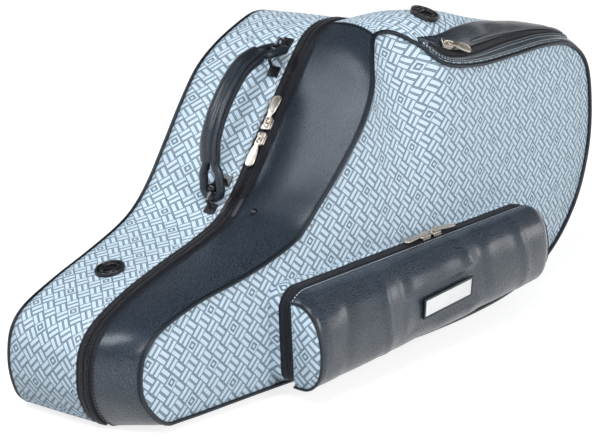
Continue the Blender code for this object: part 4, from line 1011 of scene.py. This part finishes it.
def build_handle():
    """A sewn leather grip on two cord loops that swing on black wire brackets."""
    joint = JOINTS["handle_swing"]
    along = -Vector(joint["axis"]).normalized()
    out = Vector((-along.z, 0, along.x))
    chord = frame_of(joint["pos_m"], along, out.cross(along))
    middles = [chord.inverted() @ Vector(points_of(node).mean(0))
               for node in ("handle_bracket_low", "handle_bracket_high")]
    length = middles[1].x - middles[0].x
    path = [Vector((x * length, 0, z * HANDLE_RISE - BRACKET_RISE)) for x, z in GRIP_PATH_SHARES]
    smooth = smoothed(path, 61)
    build_grip(smooth, chord)
    for name, end, bar in (("low", Vector(smooth[0]), 0.0), ("high", Vector(smooth[-1]), length)):
        build_loop(name, chord, Vector((bar, 0, 0)), end)
        dress("handle_bracket_" + name, BLACK_METAL)
        build_bead(name, chord @ Matrix.Translation((bar, 0, 0)))


def build_grip(path, chord):
    """The grip's leather: a round tube with a sewn fin along its outer side."""
    tangent = units(np.gradient(path, axis=0))
    side = repeated((0, 1, 0), path)
    up = np.cross(tangent, side)
    up *= np.sign(up[:, 2:].sum())
    rings = []
    for i, (p, n) in enumerate(zip(path, up)):
        ring = []
        share = i / (len(path) - 1)
        end = min(share, 1 - share) / 0.06
        girth = 1.0 - 0.05 * max(0.0, 1 - end) + 0.02 * sin(share * pi)
        for turn in np.linspace(0, 2 * pi, 49)[:-1]:
            lean = (turn - 0.80 * pi + pi) % (2 * pi) - pi
            fin = np.exp(-(lean / 0.20) ** 2) * 0.0042
            pinch = np.exp(-((abs(lean) - 0.42) / 0.16) ** 2) * 0.0010
            radius = GRIP_RADIUS * 0.92 * girth + fin - pinch
            ring.append(p + side[0] * cos(turn) * radius + n * sin(turn) * radius)
        rings.append(ring)
    grid = np.array(rings)
    wrinkle = soft_noise(grid, 90.0, 5)[..., None] * 0.0003
    grid = path[:, None] + (grid - path[:, None]) * (1 + wrinkle / GRIP_RADIUS)
    ends = []
    for i, way in ((0, -1), (-1, 1)):
        core = path[i] + (grid[i] - path[i]) * 0.42 - tangent[i] * way * 0.0015
        ends.append([path[i] + (grid[i] - path[i]) * 0.80 + tangent[i] * way * 0.0008, core])
    grid = np.concatenate([ends[0][::-1], grid, ends[1]])
    mesh = grid_mesh("grip_wrap", grid, closed=True)
    working = bmesh.new()
    working.from_mesh(mesh)
    bmesh.ops.holes_fill(working, edges=working.edges)
    bmesh.ops.recalc_face_normals(working, faces=working.faces)
    piece("grip_wrap", finished(working, mesh, chord), GRIP_LEATHER, "handle", ["handle_grip"])
    turn = 0.80 * pi - 0.34
    outward = side * cos(turn) + up * sin(turn)
    row = (path + outward * (GRIP_RADIUS * 0.92 + 0.0004))[2:-2]
    stitches("grip_stitches", moved(row, chord), spun(outward[2:-2], chord), DARK_THREAD, "handle",
             pitch=0.0038, length=0.0029, radius=0.00045, sunk=-0.0002)


def build_loop(name, chord, bar, end):
    """A leather cord from inside the grip's end, round the bracket's bar."""
    up = (end - bar).normalized()
    reach = (end - bar).length - CLEARANCE * 2 - LOOP_CORD_RADIUS - LOOP_HALF_WIDTH
    side = Vector((0, 1, 0))
    local = frame_of(bar, side.cross(up), side)
    top = (end - bar).length + 0.004
    half = LOOP_HALF_WIDTH
    leg = [(0.0055, top), (0.0062, top - 0.010), (half * 0.93, reach + 0.002)]
    points = leg + [(half * cos(turn), half * sin(turn)) for turn in np.linspace(0, -pi, 13)]
    points = [(0, y, z) for y, z in points + [(-y, z) for y, z in leg[::-1]]]
    smooth = moved(smoothed(points, 70), chord @ local)
    cord_curve("loop_cord_" + name, smooth, LOOP_CORD_RADIUS, GRIP_LEATHER, "handle",
               ["handle_loop_" + name])


def build_bead(name, matrix):
    """A glossy ball threaded on the bracket's bar, inside the cord."""
    profile = [(BEAD_RADIUS * sin(a), -BEAD_RADIUS * cos(a)) for a in np.linspace(0.45, pi - 0.45, 20)]
    lying = matrix @ Matrix.Rotation(pi / 2, 4, "Y")
    turned("handle_bead_ball_" + name, profile, 40, lying, BLACK_GLOSS, "base", ["handle_bead_" + name])


def dress(node, material):
    """Gives a plain solid its finish and smooth shading."""
    mesh = frame["nodes"][node].data
    mesh.materials.clear()
    mesh.materials.append(material)
    mesh.shade_smooth()
    mesh.set_sharp_from_angle(angle=radians(35))


# Strap lugs and the band's rivet


def plane_of(points):
    """The middle of a flat set of points and the direction square to it, pointing up."""
    middle = points.mean(0)
    normal = np.linalg.svd(points - middle)[2][-1]
    return Vector(middle), Vector(normal if normal[2] > 0 else -normal)


def build_lug(name, fold, body, ring_body):
    """A dished disc with a staple, and a ring that folds flat into it."""
    middle, normal = plane_of(points_of(name + "_ring"))
    x = (middle - Vector(JOINTS[fold]["pos_m"])).normalized()
    centre = middle - normal * (RING_WIRE_RADIUS + CLEARANCE + DISH_FLOOR)
    matrix = frame_of(centre, x, normal.cross(x))
    rim, inner = LUG_RADIUS - LUG_RIM, LUG_RADIUS - LUG_RIM * 2
    profile = [(0.0, -0.0003), (LUG_RADIUS, -0.0003), (LUG_RADIUS, LUG_HEIGHT * 0.35)]
    profile += arc(rim, LUG_HEIGHT - LUG_RIM, LUG_RIM, 0, pi)
    profile += [(inner, 0.0024), (inner - 0.0008, 0.0017), (0.0, DISH_FLOOR)]
    turned(name + "_dish", profile, 56, matrix, BLACK_METAL, body, [name + "_base"])
    ring_z = DISH_FLOOR + RING_WIRE_RADIUS + CLEARANCE
    bar = ring_z + RING_WIRE_RADIUS * 2 + CLEARANCE
    near, far = STAPLE_HALF_WIDTH - RING_RADIUS, -STAPLE_HALF_WIDTH - RING_RADIUS
    path = [(far, 0, 0.0012), (far, 0, bar - 0.0010), (far + 0.0010, 0, bar), (near - 0.0010, 0, bar),
            (near, 0, bar - 0.0010), (near, 0, 0.0012)]
    staple = moved(smoothed(path, 31), matrix)
    cord_curve(name + "_staple_bar", staple, STAPLE_WIRE_RADIUS, BLACK_METAL, body)
    ring = [matrix @ Vector((x, y, ring_z)) for x, y in arc(0, 0, RING_RADIUS, 0, 2 * pi, 48)[:-1]]
    cord_curve(name + "_ring_wire", ring, RING_WIRE_RADIUS, BLACK_METAL, ring_body, [name + "_ring"],
               closed=True)


def build_rivet():
    centre, normal = plane_of(points_of("band_rivet"))
    x = Vector((1, 0, 0)) - normal * normal.x
    matrix = frame_of(centre - normal * 0.0011, x, normal.cross(x))
    profile = [(0.0, -0.0002), (0.0042, -0.0002), (0.0042, 0.0005), (0.0036, 0.0014), (0.0022, 0.0022),
               (0.0, 0.0025)]
    turned("band_rivet_dome", profile, 32, matrix, BLACK_METAL, "lid", ["band_rivet"])


# Lower pocket


def pocket_frame():
    joint = JOINTS["pocket_cover_drop"]
    x = Vector(joint["axis"]).normalized()
    return frame_of(joint["pos_m"], x, Vector((0, 0, 1)).cross(x).normalized())


def pocket_height(x):
    return POCKET_HEIGHT * (1 + (POCKET_TAPER_SHARES[0] - 1) * x / POCKET_LENGTH)


def pocket_depth(x):
    return POCKET_DEPTH * (1 + (POCKET_TAPER_SHARES[1] - 1) * x / POCKET_LENGTH)


def pocket_ring(y):
    """The pocket's outline at one depth: a long box with round corners, clockwise from outside."""
    small, large = POCKET_CORNER, POCKET_TOP_CORNER
    corners = [
        (small, small, pi, small),
        (large, pocket_height(0) - large, pi / 2, large),
        (POCKET_LENGTH - large, pocket_height(POCKET_LENGTH) - large, 0.0, large),
        (POCKET_LENGTH - small, small, -pi / 2, small),
    ]
    loop = []
    for x, z, start, radius in corners:
        for turn in np.linspace(start + pi / 2, start, CORNER_STEPS):
            loop.append((x + radius * cos(turn), y, z + radius * sin(turn)))
    loop = np.array(loop)
    filled = []
    for a, b in zip(loop, np.roll(loop, -1, 0)):
        cuts = max(1, int(np.linalg.norm(b - a) / 0.008))
        filled += [a + (b - a) * i / cuts for i in range(cuts)]
    return np.array(filled)


def cover_height(x):
    """The pocket's height at a place along it, cut back near its ends by the zip's round corners."""
    near = max(0.0, POCKET_TOP_CORNER - min(x, POCKET_LENGTH - x)) * END_CUT_SHARE
    return pocket_height(x) - POCKET_TOP_CORNER + sqrt(POCKET_TOP_CORNER ** 2 - near ** 2)


def pocket_cover_grid(columns_count=121, rows_count=61):
    """The leather cover, with slack folds and ends that draw in, in the pocket's own frame."""
    start = POCKET_ZIP + CLEARANCE
    section = smoothed(POCKET_SECTION_SHARES, rows_count)
    xs = POCKET_LENGTH * (0.5 - 0.5 * np.cos(np.linspace(0, pi, columns_count)))
    grid = np.zeros((rows_count, columns_count, 3))
    for i, x in enumerate(xs):
        right = max(0.0, (x - POCKET_LENGTH + 0.022) / 0.022)
        left = max(0.0, (0.006 - x) / 0.006)
        drawn = 1 - 0.30 * right ** 2.2 - 0.05 * left ** 2
        grid[:, i, 0] = x
        grid[:, i, 1] = -start - section[:, 0] * pocket_depth(x) * drawn
        low = 0.010 * right ** 2.2
        grid[:, i, 2] = section[:, 1] * (cover_height(x) - low * 1.6) + low
    weight = np.clip(section[:, 0] * 1.2, 0, 1)[:, None] * np.ones(columns_count)
    share = xs / POCKET_LENGTH
    folds = np.zeros_like(weight)
    height = section[:, 1][:, None]
    for centre, width, depth in POCKET_FOLD_SHARES:
        wander = centre + 0.012 * np.sin(height * 5 + centre * 30)
        reach = np.clip(1.25 - np.abs(height - 0.62) * 1.5, 0, 1)
        folds += np.exp(-((share[None, :] - wander) / width) ** 2) * depth * reach
    slack = soft_noise(grid, 13.0, 7) * 0.0030 + soft_noise(grid, 34.0, 8) * 0.0009
    edge_hold = np.clip(np.minimum(share, 1 - share) / 0.04, 0, 1)[None, :]
    push = (folds * 0.0024 + slack + 0.0012) * weight * edge_hold
    plate_x, plate_z = PLATE_SHARES[0] * POCKET_LENGTH, PLATE_SHARES[1] * pocket_height(POCKET_LENGTH / 2)
    away = np.maximum(np.abs(grid[..., 0] - plate_x) / 0.050, np.abs(grid[..., 2] - plate_z) / 0.0160)
    under = np.clip((1.5 - away) / 0.45, 0, 1) * (grid[..., 1] < -0.020)
    push = push * (1 - under) - under * 0.0012
    return grid + normals_of(grid) * push[..., None]


def build_pocket():
    matrix = pocket_frame()
    build_pocket_band(matrix)
    for side, body, way in (("back", "lid", 1), ("front", "pocket_front", -1)):
        ends = [pocket_ring(way * POCKET_ZIP), pocket_ring(way * CLEARANCE)][::way]
        grid = looped(np.linspace(*ends, 5))
        tape = moved(grid - normals_of(grid) * SINK, matrix)
        sheet(f"pocket_tape_{side}_fine", tape, TAPE, body, ["pocket_tape_" + side], wall=TAPE_WALL)
        run, up, into = zip_run(way)
        up, into = spun(up, matrix), spun(into, matrix)
        zip_teeth(f"pocket_teeth_{side}_fine", moved(run, matrix), up, into, body, ["pocket_teeth_" + side],
                  width=0.0034)
    build_pocket_cover(matrix)
    build_name_plate(matrix)


def zip_run(way):
    """The pocket zip's line up the left end, over the top and down the right end."""
    ring = pocket_ring(way * CLEARANCE)
    low, high = (
        np.argmin(np.abs(ring[:, 2] - 0.020) + (side * (ring[:, 0] - POCKET_LENGTH / 2) > 0) * 1.0)
        for side in (1, -1)
    )
    run = ring[low:high + 1]
    up = -units(np.cross(np.gradient(run, axis=0), (0.0, 1.0, 0.0)))
    return run, up, repeated((0, way, 0), run)


def build_pocket_band(matrix):
    """The cloth band between the lid's front panel and the zip, with a slack middle."""
    working = bmesh.new()
    working.from_mesh(bpy.data.objects["front_panel_cloth"].data)
    tree = BVHTree.FromBMesh(working)
    working.free()
    back = matrix.to_3x3() @ Vector((0, 1, 0))
    front = pocket_ring(POCKET_ZIP + CLEARANCE)
    hits = [tree.ray_cast(matrix @ Vector((p[0], 0, p[2])), back)[0] for p in front]
    rear = np.array([matrix.inverted() @ hit + Vector((0, 0.0015, 0)) for hit in hits])
    grid = looped(np.linspace(rear, front, 12))
    share = np.linspace(0, 1, 12)[:, None]
    slack = np.sin(share * pi) * (0.0012 + soft_noise(grid, 30.0, 11) * 0.0022)
    grid = moved(grid + normals_of(grid) * slack[..., None], matrix)
    sheet("pocket_band_cloth", grid, CLOTH, "lid", ["pocket_band"])
    run, up, into = zip_run(1)
    row = moved(run + into * (POCKET_ZIP + 0.0022) + up * 0.0004, matrix)
    stitches("pocket_band_stitches", row, spun(up, matrix), PALE_THREAD, "lid")


def build_pocket_cover(matrix):
    grid = pocket_cover_grid()
    sheet("pocket_cover_leather", moved(grid, matrix), LEATHER, "pocket_front", ["pocket_cover"],
          wall=POCKET_WALL)
    normals = normals_of(grid)
    for i, thread in enumerate((PALE_THREAD, DARK_THREAD)):
        line, up = grid[i + 1, 2:-2], normals[i + 1, 2:-2]
        stitches(f"pocket_cover_stitches_{i}", moved(line + up * 0.0002, matrix), spun(up, matrix), thread,
                 "pocket_front")
    for name, index, way in (("left", 0, -1), ("right", -1, 1)):
        build_pocket_end(name, grid[:, index], way, matrix)


def build_pocket_end(name, section, way, matrix):
    """An oval cloth end with a cord round its front, and stitches along its straight rear edge."""
    middle = section.mean(0)
    rings = []
    for share, push in ((1.0, 0.0), (0.97, 0.0010), (0.86, 0.0026), (0.62, 0.0042), (0.34, 0.0052),
                        (0.12, 0.0056)):
        ring = middle + (section - middle) * share
        ring[:, 0] = section[0, 0] + way * (push - 0.0004)
        rings.append(ring)
    grid = np.array(rings[::-way])
    uv = grid[..., [1, 2]] * (way, 1.0)
    mesh = grid_mesh("pocket_end_" + name, moved(grid, matrix), uv, closed=True)
    working = bmesh.new()
    working.from_mesh(mesh)
    centre = matrix @ Vector(middle)
    inner = [e for e in working.edges if e.is_boundary and (e.verts[0].co - centre).length < 0.015]
    bmesh.ops.holes_fill(working, edges=inner, sides=0)
    bmesh.ops.recalc_face_normals(working, faces=working.faces)
    end = piece(f"pocket_end_{name}_cloth", finished(working, mesh), CLOTH, "pocket_front",
                ["pocket_end_" + name])
    cord_curve("pocket_end_cord_" + name, moved(section + (way * 0.0006, 0, 0), matrix), 0.0015,
               PIPING_LEATHER, "pocket_front")
    rear = np.linspace(section[-1], section[0], 24) + (way * 0.0012, -0.0012, 0)
    side = repeated((way, 0, 0), rear)
    stitches("pocket_end_stitches_" + name, moved(rear, matrix), spun(side, matrix), PALE_THREAD,
             "pocket_front", sunk=-0.0002)


def build_name_plate(matrix):
    """A bare white plate in a thin leather frame."""
    middle, normal = plane_of(points_of("plate_frame"))
    if normal.y > 0:
        normal = -normal
    x = matrix.to_3x3() @ Vector((1, 0, 0))
    x = (x - normal * x.dot(normal)).normalized()
    place = frame_of(middle, x, normal.cross(x))
    hole = round_box(0.0846, 0.0181, 0.0008, 4)
    for name, size, holes, thickness, material, node in (
        ("plate_border", (0.0900, 0.0235), [hole], 0.0022, PIPING_LEATHER, "plate_frame"),
        ("plate_blank", (0.0850, 0.0185), [], 0.0012, PLATE, "name_plate_blank"),
    ):
        plate(name, round_box(*size, 0.0012, 4), thickness, 0.0003, place, material, "pocket_front",
              [node], holes)


# Upper pocket


def upper_lines(rings, t, shares):
    """Lines over the bell's roll at steps between the upper pocket's four columns of shares."""
    each = np.arange(len(t))
    lines = []
    for step in shares:
        first = min(int(step), 2)
        near, far = UPPER_POCKET[:, 1 + first], UPPER_POCKET[:, 2 + first]
        over = np.interp(t, UPPER_POCKET[:, 0], near + (far - near) * (step - first))
        lines.append(patch(rings, t, 2 + 2 * over)[each, each])
    return np.array(lines)


def build_upper_pocket(rings):
    """A leather pocket sewn over the bell's roll, its zip under a lip that rises past the slider."""
    first, last = UPPER_POCKET[[0, -1], 0]
    t = np.linspace(first, last, 91)
    steps = np.concatenate([np.linspace(0, 1, 12), np.linspace(1.15, 2, 6), np.linspace(2.2, 3, 6)])
    grid = upper_lines(rings, t, steps)
    normals = normals_of(grid)
    top = np.clip(steps, 0, 1)[:, None]
    puff = np.sin(top * pi) ** 0.7 * 0.0035 * np.sin(np.linspace(0, pi, 91)) ** 0.5
    crease = np.exp(-((steps[:, None] - 1.5) / 0.34) ** 2) * -0.0016
    slack = soft_noise(grid, 28.0, 13) * 0.0012 * np.sin(top * pi)
    panel = grid + normals * (0.0017 + puff + crease + slack)[..., None]
    sheet("upper_pocket_leather", panel, LEATHER, "lid", ["upper_pocket_panel"], wall=POCKET_WALL)
    inner_t = np.linspace(first + 0.45, last - 0.4, 80)
    zone = upper_lines(rings, inner_t, np.linspace(1.12, 1.88, 6))
    sheet("upper_zip_tape_fine", zone + normals_of(zone) * 0.0022, TAPE, "lid", ["upper_zip_tape"],
          wall=0.0006)
    middle = upper_lines(rings, inner_t, [1.45, 1.5, 1.55])
    up = normals_of(middle)[1]
    across = np.gradient(middle, axis=0)[1]
    for side, way, replaces in (("up", -1.0, ["upper_zip_teeth"]), ("down", 1.0, [])):
        zip_teeth("upper_zip_teeth_" + side, middle[1] + up * 0.0026, up, across * way, "lid", replaces,
                  width=0.0024)
    lip = upper_lines(rings, inner_t, [0.88])[0]
    past_slider = np.clip((lip[:, 0] - LIP_START) / LIP_RUN, 0, 1)
    lip = lip + up * (0.0014 + 0.0020 * past_slider)[:, None]
    swell = (0.75 + 0.45 * np.sin(np.linspace(0.15, 0.9, 80) * pi)) * (0.5 + 0.5 * past_slider)
    cord_curve("upper_pocket_lip", lip, 0.0022, LEATHER, "lid", radii=swell)
    sill = upper_lines(rings, inner_t, [1.98])[0] + up * 0.0022
    cord_curve("upper_pocket_sill", sill, 0.0011, LEATHER, "lid")
    for i, (step, row_lift, thread) in enumerate((
        (0.08, 0.0030, DARK_THREAD), (2.25, 0.0022, PALE_THREAD), (2.80, 0.0022, PALE_THREAD),
    )):
        row_normals = normals[int(np.argmin(np.abs(steps - step)))][2:-2]
        line = upper_lines(rings, t[2:-2], [step])[0] + row_normals * row_lift
        stitches(f"upper_pocket_stitches_{i}", line, row_normals, thread, "lid", radius=0.00036)


# Inside


def build_linings():
    """Plush over the inside of both shells, turned over their rims."""
    t = columns(BOTTOM_MIDDLE, BOTTOM_MIDDLE + STATIONS)
    depth = SHELL_DEPTH + COVER_WALL
    rings = base_stations()
    rim_y = PARTING + CLEARANCE * 2
    grid = patch(rings, t, np.linspace(0, 1, 7))
    grid = np.concatenate([grid, [round_loop(seam(rim_y), t)]])
    inner = grid - normals_of(grid) * depth
    inner[:, :, 1] = np.minimum(inner[:, :, 1], ORIGIN.y - depth)
    inner[-1, :, 1] = ORIGIN.y + rim_y
    stations = side_stations()
    rim_y = PARTING - CLEARANCE * 2
    side = np.concatenate([[round_loop(seam(rim_y), t)],
                           patch(stations, t, side_rows(13))])
    lining = side - normals_of(side) * depth
    lining[0, :, 1] = ORIGIN.y + rim_y
    face = face_grid(round_loop(stations[-1], t), [0.12, 0.25, 0.40, 0.55, 0.70, 0.84])
    face[:, :, 1] += depth
    lining = np.concatenate([lining[:-1], face])
    for body, plush, ring in (("base", inner, inner[0]), ("lid", lining, lining[-1])):
        sheet(body + "_plush_side", plush[::-1], PLUSH, body, [body + "_lining"], wall=0)
        build_plush_floor(body, ring[:-1])


def build_plush_floor(body, ring):
    name = body + "_plush_floor"
    working = bmesh.new()
    face = working.faces.new([working.verts.new(p) for p in ring])
    bmesh.ops.triangulate(working, faces=[face], ngon_method="BEAUTY")
    piece(name, finished(working, bpy.data.meshes.new(name)), PLUSH, body)


def build_fittings():
    """The foam blocks and pads, with soft plush edges."""
    for node, body, fill in (
        ("body_cradle", "base", 0.9), ("bell_cradle", "base", 0.9),
        ("accessory_wall", "base", 0.8), ("lid_pad", "lid", 0.8),
    ):
        mesh = frame["nodes"][node].data.copy()
        mesh.materials.clear()
        pad = piece(node + "_plush", mesh, PLUSH, body, [node])
        remesh = pad.modifiers.new("Remesh", "REMESH")
        remesh.mode = "VOXEL"
        remesh.voxel_size = 0.0025
        soften = pad.modifiers.new("Soften", "SMOOTH")
        soften.factor = 0.5
        soften.iterations = 7
        apply_modifiers(pad)
        pad.data.shade_smooth()


# Floor, light and camera


def seen_rays(tree):
    """1 for the rays that look at the backdrop: the camera's, and those in metal and glass."""
    path = tree.nodes.new("ShaderNodeLightPath")
    seen = Wire(path.outputs["Is Camera Ray"]).or_more(Wire(path.outputs["Is Glossy Ray"]))
    return seen.or_more(Wire(path.outputs["Is Transmission Ray"]))


def whiten(shader):
    """Shows the floor as white, with only a faint shadow on it."""
    tree = shader.id_data
    glow = tree.nodes.new("ShaderNodeEmission")
    glow.inputs["Strength"].default_value = 0.80
    dim = tree.nodes.new("ShaderNodeBsdfDiffuse")
    set_inputs(dim, {"Color": (0.42, 0.42, 0.42)})
    both = tree.nodes.new("ShaderNodeAddShader")
    set_inputs(both, {0: glow.outputs[0], 1: dim.outputs[0]})
    mixed = tree.nodes.new("ShaderNodeMixShader")
    set_inputs(mixed, {0: seen_rays(tree), 1: shader.outputs[0], 2: both.outputs[0]})
    set_inputs(tree.nodes["Material Output"], {"Surface": mixed.outputs[0]})


def build_stage():
    corners = np.array([(-1, -1, 0), (1, -1, 0), (1, 1, 0), (-1, 1, 0)]) * FLOOR_REACH
    mesh = mesh_of("floor", corners, [(0, 1, 2, 3)])
    floor = placed("floor", mesh)
    floor.location.z = -SINK
    material, shader, _ = new_material("pale_floor", 0.8, 0.2)
    set_inputs(shader, {"Base Color": (0.50, 0.505, 0.51)})
    mesh.materials.append(material)
    whiten(shader)
    world = bpy.data.worlds.new("studio")
    bpy.context.scene.world = world
    world.use_nodes = True
    tree = world.node_tree
    height = parts_of(tree.nodes.new("ShaderNodeTexCoord").outputs["Generated"])[2]
    low_sky = height.below(0.26, 0.14) * 0.95 + 0.05
    seen = seen_rays(tree)
    strength = (seen * low_sky) + ((seen * -1.0 + 1.0) * 0.30)
    set_inputs(tree.nodes["Background"], {"Strength": strength, "Color": (1.0, 1.0, 1.0)})
    for name, place, size, power, aim, colour in (
        ("key", (-2.0, -0.7, 2.4), 1.2, 54.0, (0.0, 0.0, 0.15), (1.0, 1.0, 1.0)),
        ("front", (-0.9, -2.6, 1.3), 1.2, 44.0, (0.0, 0.0, 0.1), (1.0, 1.0, 1.0)),
        ("right", (2.4, -1.9, 0.40), 0.8, 9.0, (0.1, 0.0, 0.10), (1.0, 1.0, 1.0)),
        ("back", (-1.15, 1.35, 2.15), 0.9, 26.0, (-0.1, 0.0, 0.2), (0.86, 0.94, 1.0)),
    ):
        data = bpy.data.lights.new(name, "AREA")
        data.size = size
        data.energy = power
        data.color = colour
        light = placed(name, data)
        light.location = place
        light.rotation_mode = "QUATERNION"
        light.rotation_quaternion = (Vector(aim) - Vector(place)).to_track_quat("-Z", "Y")


def build_camera():
    data = bpy.data.cameras.new("view")
    data.lens = VIEW_LENS
    data.sensor_width = VIEW_SENSOR
    data.clip_start = 0.05
    data.clip_end = 60.0
    camera = placed("view", data)
    level = cos(VIEW_ELEVATION)
    back = Vector((sin(VIEW_AZIMUTH) * level, -cos(VIEW_AZIMUTH) * level, sin(VIEW_ELEVATION)))
    camera.rotation_mode = "QUATERNION"
    turn = (-back).to_track_quat("-Z", "Y") @ Matrix.Rotation(VIEW_ROLL, 3, "Z").to_quaternion()
    camera.rotation_quaternion = turn
    camera.location = ORIGIN + VIEW_TARGET + back * VIEW_DISTANCE
    bpy.context.scene.camera = camera


def main():
    bpy.context.scene.view_settings.view_transform = "Standard"
    build_camera()
    build_stage()
    build_base()
    rings = build_lid()
    build_zips()
    build_hinge()
    build_sliders()
    build_handle()
    build_lug("neck_lug", "neck_ring_fold", "base", "neck_ring")
    build_lug("bell_lug", "bell_ring_fold", "lid", "bell_ring")
    build_rivet()
    build_pocket()
    build_upper_pocket(rings)
    build_linings()
    build_fittings()
    dress("base_shell", FOAM)
    dress("lid_shell", FOAM)


main()
